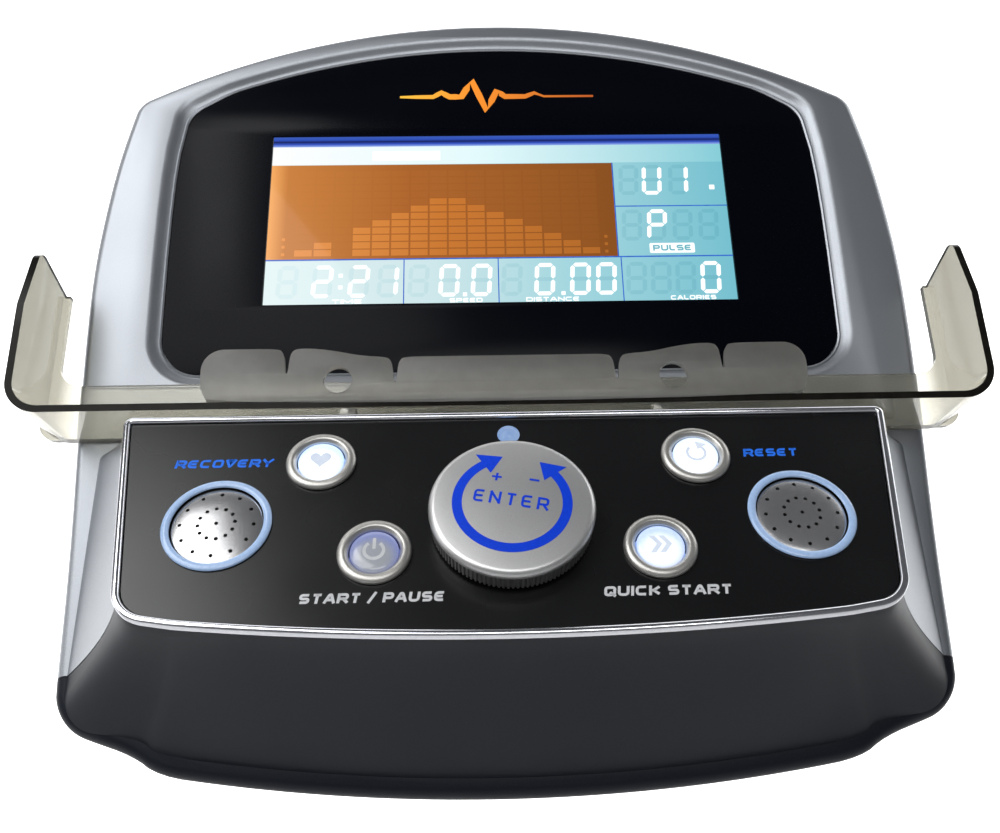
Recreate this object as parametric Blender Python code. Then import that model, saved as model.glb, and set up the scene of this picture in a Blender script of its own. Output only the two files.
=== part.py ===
"""Console of an elliptical trainer: tilted display, control panel with jog dial, reading rack and mast pad.

Two working frames carry the design. The display frame has its origin at the bottom centre of the LCD
window, on the lens surface: x to the right, y up along the display, z out of the lens. The panel frame
has its origin under the jog dial, on the overlay surface: y up along the panel, z out of it.
The world origin is the centre of the mast pad's seat face.
"""

import math

import bmesh
import bpy
from mathutils import Euler, Matrix, Vector

MM = 0.001
GAP = 0.3 * MM  # clearance left between pieces that rest on or in each other
OVERLAP = 1.0 * MM  # how far a cutter runs past the face that it opens

# ---- attitude of the two working frames ----
DISPLAY_TILT = math.radians(50.0)  # display plane above the horizontal
PANEL_BREAK = math.radians(20.8)  # how much flatter the control panel lies
PANEL_ORIGIN = Vector((0, -101.4, 51.3)) * MM  # jog dial centre, in the display frame

# ---- display window ----
LENS_HALF = 131.0 * MM
LENS_TOP = 121.0 * MM
LENS_BOTTOM = -29.0 * MM
LENS_SHOULDER = 93.0 * MM  # height where the side meets the arch
LENS_CORNER = 15.0 * MM
LENS_THICK = 2.0 * MM
ARCH_RADIUS = 300.0 * MM
WINDOW_SIDE = 37.8 * MM  # black border of the lens beside the window
WINDOW_HALF = LENS_HALF - WINDOW_SIDE
WINDOW_HEIGHT = 78.3 * MM
BEZEL_SLOPE = 4.0 * MM
BEZEL_RIM = 2.0 * MM
SEAT_LEDGE = 3.0 * MM
SEAT_THICK = 2.2 * MM
MASK_THICK = 0.5 * MM

# ---- housing shells ----
FACE = 2.5 * MM  # silver face above the lens surface
WALL = 2.5 * MM
SHELL_HALF = 160.0 * MM
SHELL_TOP = 135.0 * MM
SHELL_SHOULDER_HALF = 145.5 * MM  # where the top arch runs into the shoulder
SHELL_CORNER = 12.0 * MM
SHELL_FOOT_HALF = 153.8 * MM
SHELL_FOOT = -160.5 * MM
SHELL_FOOT_CORNER = 18.0 * MM
SHELL_BOTTOM = -181.5 * MM
PARTING = -14.0 * MM  # plane where the front shells meet the rear cover
REAR_DEPTH = 46.0 * MM
FOOT_ARC = 680.0 * MM  # radius of the bottom edge
SHOULDER_X = 117.0 * MM  # where the bulged front wall ends and the corner lobe begins
LOBE_VALLEY = 9.0 * MM  # width of the valley beside the lobe
LOBE_STEP = 6.5 * MM  # how much the lobes stop short of the bottom edge
SPLIT_LOW = Vector((0, -143.0, -8.0)) * MM  # the silver and black shells part along this line,
SPLIT_HIGH = Vector((0, -119.0, 58.5)) * MM  # seen from the side
SPLIT_GAP = 0.5 * MM

# ---- raised control module ----
PANEL_TOP = 44.3 * MM
PANEL_HALF = 127.5 * MM
PANEL_FOOT_HALF = 115.0 * MM
PANEL_FOOT = -31.5 * MM
PANEL_BOTTOM = -39.8 * MM
PANEL_CORNER = 13.0 * MM
PANEL_FOOT_SHARE = 0.82  # how far the bottom edge is drawn in on the panel, for the valleys to run into it
PANEL_FOOT_ARC = 1350.0 * MM
RIM_TOP = -1.3 * MM  # housing rim under the trim
RIM_WIDTH = 5.0 * MM
MODULE_TOP = -60.4 * MM  # where the module's upper wall stands on the face
MODULE_HALF = 147.0 * MM
MODULE_FOOT_HALF = 149.3 * MM
MODULE_INSET = 6.5 * MM  # rim left showing below the front wall
FLARE = 0.36  # share of the flare that is left at mid height on the sides,
FRONT_FLARE = 0.44  # and on the front

# ---- trim, overlay, deck and keypad board ----
TRIM_WIDTH = 2.4 * MM
TRIM_RISE = 1.3 * MM
OVERLAY_THICK = 1.0 * MM
DECK_THICK = 2.5 * MM
BOARD_TOP = -9.4 * MM
BOARD_THICK = 1.6 * MM
BOARD_MARGIN = 2.5 * MM  # board left outside the outermost buttons' caps
BOARD_Y = (-26.0 * MM, 38.5 * MM)
POST_RADIUS = 2.6 * MM

# ---- buttons ----
BUTTONS = {  # name: place on the panel
    "recovery": (-60.4 * MM, 24.3 * MM),
    "reset": (60.4 * MM, 24.3 * MM),
    "start_pause": (-41.4 * MM, -10.7 * MM),
    "quick_start": (44.4 * MM, -10.7 * MM),
}
CAP_RADIUS = 7.35 * MM
CAP_CLEARANCE = 0.4 * MM  # between a cap and its bezel
BEZEL_WIDTH = 3.45 * MM
BEZEL_BORE = CAP_RADIUS + CAP_CLEARANCE
BEZEL_RADIUS = BEZEL_BORE + BEZEL_WIDTH
BEZEL_RISE = 2.0 * MM
CAP_TOP = 1.2 * MM
CAP_DOME = 0.7 * MM
CAP_LEDGE = 2.25 * MM  # flange that keeps a cap under the deck
CAP_FLANGE = CAP_RADIUS + CAP_LEDGE
CAP_FLANGE_THICK = 1.0 * MM
CAP_GUIDE = 0.75 * MM  # clearance of the deck hole around the cap
SWITCH_SIDE = 6.2 * MM
SWITCH_HEIGHT = 3.1 * MM
STEM_RADIUS = 1.7 * MM
STEM_SINK = 1.0 * MM  # stem below the switch's top at rest
PRESS = 0.6 * MM  # travel of a button and of the jog dial
BOARD_HALF = max(abs(x) for x, _ in BUTTONS.values()) + CAP_FLANGE + BOARD_MARGIN

# ---- jog dial and encoder ----
DIAL_RADIUS = 25.3 * MM
DIAL_TOP = 9.5 * MM  # rim height
DIAL_DOME = 1.2 * MM
DIAL_FOOT = 1.5 * MM
DIAL_EDGE = 2.0 * MM  # rounding of the cap's rim
CAP_SPLIT = 6.8 * MM  # height where the cap sits on the grip
GRIP_RIDGES = 90
GRIP_DEPTH = 0.45 * MM
GRIP_WALL = 2.6 * MM
HUB_RADIUS = 6.8 * MM
SHAFT_RADIUS = 3.0 * MM
SHAFT_TOP = 6.0 * MM
BUSH_RADIUS = 4.5 * MM
BUSH_TOP = 0.9 * MM
ENCODER_SIDE = 13.0 * MM
NUT_FLATS = 12.0 * MM

# ---- indicator ----
INDICATOR_Y = 34.6 * MM
INDICATOR_RADIUS = 3.7 * MM
INDICATOR_STEM = 2.4 * MM

# ---- speakers ----
SPEAKER_X = 89.9 * MM
SPEAKER_Y = 0.6 * MM
RING_RADIUS = 16.7 * MM
RING_BORE = 14.2 * MM
RING_RISE = 1.0 * MM
GRILLE_RADIUS = 13.9 * MM
GRILLE_THICK = 0.8 * MM
GRILLE_DOME = 1.0 * MM
GRILLE_HOLE = 0.65 * MM
GRILLE_RINGS = ((5.6 * MM, 12), (11.2 * MM, 12))  # radius and number of holes
DRIVER_RADIUS = 16.0 * MM
DRIVER_DEPTH = 19.0 * MM
MAGNET_RADIUS = 9.0 * MM
MAGNET_THICK = 6.0 * MM
CONE_RADIUS = 10.8 * MM
CONE_TRAVEL = 0.5 * MM

# ---- reading rack ----
RACK_HALF = 169.5 * MM
RACK_THICK = 2.5 * MM
RACK_BACK = FACE + GAP
RACK_FRONT = 34.6 * MM
RACK_FLOOR = -56.5 * MM
WING_TOP = 3.0 * MM  # height of a wing at its back
WING_PEAK = (9.4 * MM, 28.0 * MM)  # height and depth of its peak
WING_BEND = -16.0 * MM  # height above which its front edge leans back
WING_ROUND = 5.0 * MM
RACK_CORNER = 12.0 * MM
FLANGE_TOP = -35.0 * MM
FLANGE_STRIP = 5.0 * MM
FLANGE_CORNER = 6.5 * MM
FLANGE_STEP = 0.3 * MM  # how far the flange stays inside the channel's outer faces
LIP_HALF = 104.0 * MM
LIP_ROUND = 7.5 * MM
LIP_OUTER_TOP = -34.6 * MM
LIP_INNER_TOP = -38.2 * MM
LIP_NOTCHES = (38.0 * MM, 75.0 * MM)
NOTCH_DEPTH = 9.5 * MM
NOTCH_WIDTH = 1.8 * MM
NOTCH_FLARE = 3.0 * MM
ACCESS_X = 57.5 * MM
ACCESS_Y = -46.3 * MM
ACCESS_RADIUS = 4.9 * MM
RACK_SCREW_RADIUS = 1.4 * MM
RACK_SCREW_HEAD = 3.4 * MM

# ---- LCD stack and main board ----
LCD_MARGIN = 4.5 * MM
LCD_THICK = 2.2 * MM
BACKLIGHT_THICK = 4.0 * MM
FRAME_WIDTH = 6.0 * MM
LEG_RADIUS = 2.5 * MM
LEG_INSET = 7.0 * MM  # the frame's legs stand this far inside the window's ends
MAIN_BOARD_THICK = 1.6 * MM

# ---- rear cover, mast pad and fasteners ----
PAD_HALF = 46.0 * MM
PAD_Y = -70.0 * MM
PAD_HALF_HEIGHT = 50.0 * MM
PAD_RISE = 6.0 * MM
INSERT_PITCH = 64.0 * MM
INSERT_RADIUS = 4.0 * MM
INSERT_BORE = 2.6 * MM
INSERT_END = 7.5 * MM
GROMMET_Y = -104.0 * MM
GROMMET_RADIUS = 7.5 * MM
GROMMET_BORE = 1.8 * MM
GROMMET_END = 9.2 * MM
SCREW_RIB = 13.8 * MM  # reach of the rib from a screw boss to the side wall
SCREW_X = (SHELL_HALF - 20.0 * MM, SHELL_FOOT_HALF - SCREW_RIB)  # upper and lower pair
SCREW_Y = (62.0 * MM, -95.0 * MM)
CASE_SCREWS = [(side * x, y) for x, y in zip(SCREW_X, SCREW_Y) for side in (-1, 1)]
SCREW_RADIUS = 1.6 * MM
SCREW_HEAD = 3.6 * MM
SCREW_HEAD_THICK = 2.4 * MM
SCREW_SEAT = -20.0 * MM
BOSS_RADIUS = 5.0 * MM
VENT_ROWS = 5
VENT_PITCH = 9.0 * MM
VENT_SIZE = (44.0 * MM, 3.0 * MM)

# ---- scene, frames and materials ----


def clear_scene():
    for obj in list(bpy.data.objects):
        bpy.data.objects.remove(obj)


def make_collection(name, hidden=False):
    made = bpy.data.collections.new(name)
    bpy.context.scene.collection.children.link(made)
    made.hide_render = hidden
    return made


def make_frame(name, parent, location, tilt):
    """An empty that holds a working frame, turned about x."""
    empty = bpy.data.objects.new(name, None)
    CONSOLE.objects.link(empty)
    empty.parent = parent
    empty.location = location
    empty.rotation_euler = Euler((tilt, 0, 0))
    return empty


def make_material(name, color, roughness, metallic=0.0):
    material = bpy.data.materials.new(name)
    material.use_nodes = True
    shader = material.node_tree.nodes["Principled BSDF"]
    shader.inputs["Base Color"].default_value = (*color, 1.0)
    shader.inputs["Roughness"].default_value = roughness
    shader.inputs["Metallic"].default_value = metallic
    return material


clear_scene()
CONSOLE = make_collection("elliptical_trainer_console")
CUTTERS = make_collection("cutters", hidden=True)
PAD_CENTRE = Vector((0, PAD_Y, PARTING - GAP - REAR_DEPTH - PAD_RISE))
TILTED_PAD = Matrix.Rotation(DISPLAY_TILT, 3, "X") @ PAD_CENTRE
DISPLAY = make_frame("display_frame", None, -TILTED_PAD, DISPLAY_TILT)
PANEL = make_frame("panel_frame", DISPLAY, PANEL_ORIGIN, -PANEL_BREAK)

SILVER = make_material("silver_paint", (0.46, 0.48, 0.51), 0.38, 0.6)
BLACK = make_material("black_plastic", (0.018, 0.02, 0.025), 0.35)
GLOSS = make_material("black_overlay", (0.008, 0.008, 0.01), 0.25)
CLEAR = make_material("clear_lens", (0.7, 0.72, 0.75), 0.05)
SMOKE = make_material("smoke_plastic", (0.45, 0.43, 0.36), 0.2)
CHROME = make_material("bright_trim", (0.75, 0.76, 0.8), 0.15, 1.0)
SATIN = make_material("satin_metal", (0.6, 0.6, 0.6), 0.35, 0.9)
GLOW = make_material("glow_cap", (0.75, 0.85, 1.0), 0.3)
BLUE = make_material("blue_ring", (0.4, 0.62, 0.95), 0.3)
LCD = make_material("lcd_panel", (0.5, 0.75, 0.78), 0.2)
BOARD = make_material("circuit_board", (0.02, 0.2, 0.08), 0.5)
STEEL = make_material("steel", (0.55, 0.56, 0.58), 0.35, 1.0)
BRASS = make_material("brass", (0.78, 0.6, 0.3), 0.35, 1.0)
PAPER = make_material("cone_paper", (0.03, 0.03, 0.035), 0.8)
RUBBER = make_material("rubber", (0.02, 0.02, 0.02), 0.8)

# ---- outlines, as lists of (x, y) ----


def arc_points(centre, radius, start, end, steps):
    return [
        (centre[0] + radius * math.cos(a), centre[1] + radius * math.sin(a))
        for a in (start + (end - start) * i / steps for i in range(steps + 1))
    ]


def circle(radius, steps=24, centre=(0, 0)):
    return arc_points(centre, radius, 0, 2 * math.pi, steps)[:-1]


def rounded(corners, steps=5):
    """A closed outline through (x, y, radius) corners, each radius above 0 made a fillet."""
    outline = []
    count = len(corners)
    for i, (x, y, radius) in enumerate(corners):
        here = Vector((x, y))
        if radius <= 0:
            outline.append((x, y))
            continue
        before = (Vector(corners[i - 1][:2]) - here).normalized()
        after = (Vector(corners[(i + 1) % count][:2]) - here).normalized()
        half = before.angle(after) / 2
        reach = radius / math.tan(half)
        centre = here + (before + after).normalized() * (radius / math.sin(half))
        first = here + before * reach - centre
        turn = first.angle_signed(here + after * reach - centre)
        for k in range(steps + 1):
            spoke = Matrix.Rotation(-turn * k / steps, 2) @ first
            outline.append(tuple(centre + spoke))
    return outline


def inset(outline, distance):
    """The same number of points, moved inwards by distance (outwards if negative)."""
    area = sum(a[0] * b[1] - b[0] * a[1] for a, b in zip(outline, outline[1:] + outline[:1]))
    side = 1 if area > 0 else -1
    moved = []
    count = len(outline)
    for i, point in enumerate(outline):
        here = Vector(point)
        before = (here - Vector(outline[i - 1])).normalized()
        after = (Vector(outline[(i + 1) % count]) - here).normalized()
        normal = Vector((-before.y - after.y, before.x + after.x)).normalized() * side
        spread = max(normal.dot(Vector((-before.y, before.x)) * side), 0.5)
        moved.append(tuple(here + normal * (distance / spread)))
    return moved


def scaled(outline, factor, centre):
    return [(centre[0] + (x - centre[0]) * factor, centre[1] + (y - centre[1]) * factor) for x, y in outline]


def mirrored(half):
    """A right half from the bottom axis point to the top axis point, closed by its left mirror image."""
    return half + [(-x, y) for x, y in reversed(half) if abs(x) > 1e-9]


def arch(half, top, shoulder_angle_steps=8):
    """Points of the top arch from x = half to the axis."""
    xs = [half * (1 - i / shoulder_angle_steps) for i in range(shoulder_angle_steps + 1)]
    return [(x, top - ARCH_RADIUS + math.sqrt(ARCH_RADIUS**2 - x**2)) for x in xs]


def rectangle(centre, size):
    x, y = centre
    dx, dy = size[0] / 2, size[1] / 2
    return [(x - dx, y - dy), (x + dx, y - dy), (x + dx, y + dy), (x - dx, y + dy)]


def foot_curve(xs, bottom, radius):
    return [(x, bottom + x * x / (2 * radius)) for x in xs]


def lens_outline(grow=0.0):
    """Outline of the lens, grown outwards by grow."""
    half = LENS_HALF + grow
    corner = LENS_CORNER + grow
    bottom = LENS_BOTTOM - grow
    shoulder = LENS_SHOULDER + grow * 0.7
    right = arc_points((half - corner - 1.0 * MM, bottom + corner), corner, -math.pi / 2, 0, 6)
    right += [(half, 0.35 * shoulder), (half - 0.4 * MM, 0.7 * shoulder)]
    right += arc_points((half - 16.0 * MM, shoulder - 12.0 * MM), 13.5 * MM, 0.05, 1.1, 4)
    right += arch(half - 20.0 * MM, LENS_TOP + grow)
    return mirrored(right)


def shell_outline():
    """Outline of the whole housing: arched top, nearly straight sides, two corner lobes and a bowed foot."""
    valley_x = SHOULDER_X + LOBE_VALLEY
    shoulder_y = SHELL_BOTTOM + SHOULDER_X**2 / (2 * FOOT_ARC)
    right = foot_curve([SHOULDER_X * i / 6 for i in range(7)], SHELL_BOTTOM, FOOT_ARC)
    right += [(valley_x, shoulder_y + LOBE_STEP)]
    corner = SHELL_FOOT_CORNER
    right += arc_points((SHELL_FOOT_HALF - corner, SHELL_FOOT + corner), corner, -1.25, -0.1, 6)
    right += [(SHELL_FOOT_HALF + 1.0 * MM, -100 * MM), (SHELL_HALF - 2.2 * MM, -50 * MM)]
    right += [(SHELL_HALF - 0.6 * MM, -15 * MM), (SHELL_HALF, 15 * MM)]
    right += [(SHELL_HALF - 1.5 * MM, 40 * MM), (SHELL_HALF - 4.0 * MM, 65 * MM)]
    start = math.acos(SHELL_SHOULDER_HALF / ARCH_RADIUS)
    reach = ARCH_RADIUS - SHELL_CORNER
    centre = (reach * math.cos(start), SHELL_TOP - ARCH_RADIUS + reach * math.sin(start))
    right += arc_points(centre, SHELL_CORNER, 0.2, start, 5)[:-1]
    right += arch(SHELL_SHOULDER_HALF, SHELL_TOP)
    return mirrored(right)


def module_corners(half_top, top, half_foot, foot, corner, bottom, arc_radius, step, inner_share=1.0):
    """Corner list shared by the panel and by the module's footprint, so that the two can be lofted."""
    shoulder_y = bottom + SHOULDER_X**2 / (2 * arc_radius)
    valley = (SHOULDER_X + 0.6 * LOBE_VALLEY, shoulder_y + step)
    right = [(half_top, top, 3 * MM), (half_foot, foot, corner)]
    right += [(valley[0] * inner_share, valley[1], 0), (SHOULDER_X * inner_share, shoulder_y, 0)]
    curve = foot_curve([SHOULDER_X * i / 4 for i in (3, 2, 1)], bottom, arc_radius)
    right += [(x * inner_share, y, 0) for x, y in curve]
    left = [(-x, y, r) for x, y, r in reversed(right)]
    return right + [(0, bottom, 0)] + left


def rounded_inset(corners, shrink):
    """The rounded outline of corners, drawn in by shrink, with the same number of points."""
    moved = inset([(x, y) for x, y, _ in corners], shrink)
    radii = [max(r - shrink, 0.5 * MM) if r else 0 for _, _, r in corners]
    return rounded([(x, y, r) for (x, y), r in zip(moved, radii)])


def panel_outline(shrink=0.0):
    """Outer edge of the trim, in the panel frame."""
    corners = module_corners(
        PANEL_HALF, PANEL_TOP, PANEL_FOOT_HALF, PANEL_FOOT, PANEL_CORNER, PANEL_BOTTOM, PANEL_FOOT_ARC,
        0.8 * MM, PANEL_FOOT_SHARE,
    )
    return rounded_inset(corners, shrink)


def module_outline(shrink=0.0):
    """Where the raised module stands on the housing face, in the display frame."""
    foot = SHELL_FOOT + 4.0 * MM
    bottom = SHELL_BOTTOM + MODULE_INSET
    step = LOBE_STEP * 0.8
    corners = module_corners(MODULE_HALF, MODULE_TOP, MODULE_FOOT_HALF, foot, 13 * MM, bottom, FOOT_ARC, step)
    return rounded_inset(corners, shrink)


def panel_to_display(point):
    """A point given in the panel frame, in the display frame."""
    return Matrix.Rotation(-PANEL_BREAK, 3, "X") @ Vector(point) + PANEL_ORIGIN


# ---- solids ----


def add(obj, frame, material=None, collection=None):
    """Puts a new object in its collection and frame, with its material."""
    target = collection or CONSOLE
    if obj.name not in target.objects:
        for owner in list(obj.users_collection):
            owner.objects.unlink(obj)
        target.objects.link(obj)
    obj.parent = frame
    if material:
        obj.data.materials.clear()
        obj.data.materials.append(material)
    return obj


def mesh_object(name, bm):
    bmesh.ops.remove_doubles(bm, verts=bm.verts, dist=1e-6)
    bmesh.ops.recalc_face_normals(bm, faces=bm.faces)
    mesh = bpy.data.meshes.new(name)
    bm.to_mesh(mesh)
    bm.free()
    return bpy.data.objects.new(name, mesh)


def plate(name, outlines, low, high):
    """A flat solid between two heights. The first outline is its edge and any others are holes through it."""
    curve = bpy.data.curves.new(name, "CURVE")
    curve.dimensions = "2D"
    curve.fill_mode = "BOTH"
    curve.extrude = (high - low) / 2
    for outline in outlines:
        spline = curve.splines.new("POLY")
        spline.points.add(len(outline) - 1)
        for point, (x, y) in zip(spline.points, outline):
            point.co = (x, y, 0, 1)
        spline.use_cyclic_u = True
    guide = bpy.data.objects.new(name + "_curve", curve)
    CUTTERS.objects.link(guide)
    bpy.context.view_layer.update()
    evaluated = guide.evaluated_get(bpy.context.evaluated_depsgraph_get())
    bm = bmesh.new()
    bm.from_mesh(bpy.data.meshes.new_from_object(evaluated))
    bmesh.ops.translate(bm, verts=bm.verts, vec=(0, 0, (low + high) / 2))
    bpy.data.objects.remove(guide)
    return mesh_object(name, bm)


def loft(name, rings):
    """A closed solid through rings of 3-D points that match one to one."""
    bm = bmesh.new()
    loops = [[bm.verts.new(p) for p in ring] for ring in rings]
    count = len(rings[0])
    for lower, upper in zip(loops, loops[1:]):
        for i in range(count):
            j = (i + 1) % count
            bm.faces.new((lower[i], lower[j], upper[j], upper[i]))
    bm.faces.new(list(reversed(loops[0])))
    bm.faces.new(loops[-1])
    bmesh.ops.triangulate(bm, faces=[f for f in bm.faces if len(f.verts) > 4])
    return mesh_object(name, bm)


def at_height(outline, height):
    return [(x, y, height) for x, y in outline]


def box(name, centre, size, material=None, frame=None):
    bpy.ops.mesh.primitive_cube_add(size=1)
    obj = bpy.context.active_object
    obj.name = obj.data.name = name
    obj.data.transform(Matrix.Translation(centre) @ Matrix.Diagonal((*size, 1)))
    return add(obj, frame, material)


def cylinder(name, radius, low, high, centre=(0, 0), steps=24):
    bpy.ops.mesh.primitive_cylinder_add(vertices=steps, radius=radius, depth=high - low)
    obj = bpy.context.active_object
    obj.name = obj.data.name = name
    obj.data.transform(Matrix.Translation((*centre, (low + high) / 2)))
    return obj


def turned(name, profile, frame, material, centre=(0, 0), steps=32):
    """A solid of revolution about z through centre, from a closed profile of (radius, height) points."""
    bm = bmesh.new()
    loops = []
    for radius, height in profile:
        if radius <= 0:
            loops.append([bm.verts.new((0, 0, height))] * steps)
        else:
            loops.append([bm.verts.new((x, y, height)) for x, y in circle(radius, steps)])
    for low, high in zip(loops, loops[1:] + loops[:1]):
        for i in range(steps):
            j = (i + 1) % steps
            corners = list(dict.fromkeys((low[i], low[j], high[j], high[i])))
            if len(corners) > 2:
                bm.faces.new(corners)
    obj = add(mesh_object(name, bm), frame, material)
    obj.location = (*centre, 0)
    return shade(obj, 30.0)


def freeze(obj):
    """Applies an object's modifiers, so that a Boolean can follow."""
    bpy.context.view_layer.update()
    evaluated = obj.evaluated_get(bpy.context.evaluated_depsgraph_get())
    mesh = bpy.data.meshes.new_from_object(evaluated)
    obj.modifiers.clear()
    obj.data = mesh
    return obj


def combine(target, other, operation):
    """Cuts other from target, or joins or intersects them, and removes other."""
    if other.name not in CUTTERS.objects:
        add(other, target.parent, None, CUTTERS)
    other.parent = target.parent
    other.hide_render = True
    other.display_type = "WIRE"
    modifier = target.modifiers.new(operation.lower(), "BOOLEAN")
    modifier.operation = operation
    modifier.object = other
    modifier.solver = "EXACT"
    bpy.context.view_layer.update()
    freeze(target)
    bpy.data.objects.remove(other)
    return target


def cut(target, other):
    return combine(target, other, "DIFFERENCE")


def join(target, other):
    return combine(target, other, "UNION")


def shade(obj, angle=35.0):
    obj.data.shade_smooth()
    obj.data.set_sharp_from_angle(angle=math.radians(angle))
    return obj


# ---- housing shells ----


def module_rings(shrink, top_height, bottom_height):
    """Rings of the raised module from its footprint to the panel plane, drawn in by shrink."""
    foot = module_outline(shrink)
    head = [tuple(panel_to_display((x, y, top_height))) for x, y in panel_outline(shrink)]
    root = at_height(foot, bottom_height)
    base = at_height(foot, FACE - shrink)
    middle = []
    for low, high in zip(base, head):
        beside = low[1] > MODULE_TOP - 85 * MM and abs(low[0]) > SHOULDER_X
        share = 1 - (FLARE if beside else FRONT_FLARE)
        x, y = (a + (b - a) * share for a, b in zip(low[:2], high[:2]))
        middle.append((x, y, (low[2] + high[2]) / 2))
    return [root, base, middle, head]


def make_shell_solid(name):
    """The silver and black front shells as one hollow solid, before it is parted."""
    outline = shell_outline()
    outer = loft(
        name,
        [
            at_height(outline, PARTING),
            at_height(outline, FACE - 6.0 * MM),
            at_height(inset(outline, 1.2 * MM), FACE - 2.0 * MM),
            at_height(inset(outline, 4.0 * MM), FACE),
        ],
    )
    add(outer, DISPLAY, SILVER)
    join(outer, loft("module", module_rings(0, RIM_TOP, FACE - WALL / 2)))
    cavity = loft(
        "cavity",
        [
            at_height(inset(outline, WALL), PARTING - OVERLAP),
            at_height(inset(outline, WALL), FACE - 6.0 * MM),
            at_height(inset(outline, WALL + 3.0 * MM), FACE - WALL),
        ],
    )
    cut(outer, cavity)
    cut(outer, loft("module_cavity", module_rings(WALL, RIM_TOP - WALL, PARTING - OVERLAP)))
    return outer


def panel_prism(name, shrink, low, high):
    """A prism on the panel outline, drawn in by shrink, given in the display frame."""
    outline = panel_outline(shrink)
    rings = [[tuple(panel_to_display((x, y, z))) for x, y in outline] for z in (low, high)]
    return loft(name, rings)


def split_block(name, side):
    """The half space above (side 1) or below (side -1) the parting line of the silver and black shells."""
    along = (SPLIT_HIGH - SPLIT_LOW).normalized()
    normal = Vector((0, along.z, -along.y)) * side
    low = SPLIT_LOW - along * 100 * MM + normal * (SPLIT_GAP / 2)
    high = SPLIT_HIGH + along * 100 * MM + normal * (SPLIT_GAP / 2)
    reach = normal * 500 * MM
    ring = (low, high, high + reach, low + reach)
    return loft(name, [[(x, p.y, p.z) for p in ring] for x in (-250 * MM, 250 * MM)])


def make_front_housing():
    housing = make_shell_solid("front_housing")
    combine(housing, split_block("upper_side", 1), "INTERSECT")
    cut(housing, panel_prism("panel_opening", RIM_WIDTH, -2 * DECK_THICK - 2 * MM, 5 * MM))
    seat_low = -LENS_THICK - SEAT_THICK - GAP
    join(housing, plate("lens_seat", [lens_outline(5.0 * MM)], seat_low, FACE - 1.0 * MM))
    rim = GAP
    cut(
        housing,
        loft(
            "window",
            [
                at_height(lens_outline(-SEAT_LEDGE), PARTING),
                at_height(lens_outline(-SEAT_LEDGE), -LENS_THICK - GAP),
                at_height(lens_outline(GAP), -LENS_THICK - GAP),
                at_height(lens_outline(GAP), rim),
                at_height(lens_outline(BEZEL_RIM), rim),
                at_height(lens_outline(BEZEL_RIM + BEZEL_SLOPE), FACE),
                at_height(lens_outline(BEZEL_RIM + BEZEL_SLOPE), FACE + OVERLAP),
            ],
        ),
    )
    for x, y in CASE_SCREWS:
        join(housing, cylinder("boss", BOSS_RADIUS, PARTING, FACE - WALL / 2, (x, y), 12))
        ends = sorted((x, x + math.copysign(SCREW_RIB, x)))
        rib = [(ends[0], y - MM), (ends[1], y - MM), (ends[1], y + MM), (ends[0], y + MM)]
        join(housing, plate("rib", [rib], PARTING + MM, FACE - WALL * 0.6))
        cut(housing, cylinder("pilot", SCREW_RADIUS + GAP, PARTING - OVERLAP, -2 * MM, (x, y), 8))
    for side in (-1, 1):
        place = (side * ACCESS_X, ACCESS_Y)
        cut(housing, cylinder("rack_pilot", RACK_SCREW_RADIUS + GAP, -8 * MM, 8 * MM, place, 8))
    return shade(housing)


def make_lower_shroud():
    shroud = make_shell_solid("lower_shroud")
    shroud.data.materials.clear()
    shroud.data.materials.append(BLACK)
    combine(shroud, split_block("lower_side", -1), "INTERSECT")
    cut(shroud, panel_prism("panel_opening", RIM_WIDTH, -2 * DECK_THICK - 2 * MM, 5 * MM))
    return shade(shroud)


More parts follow.
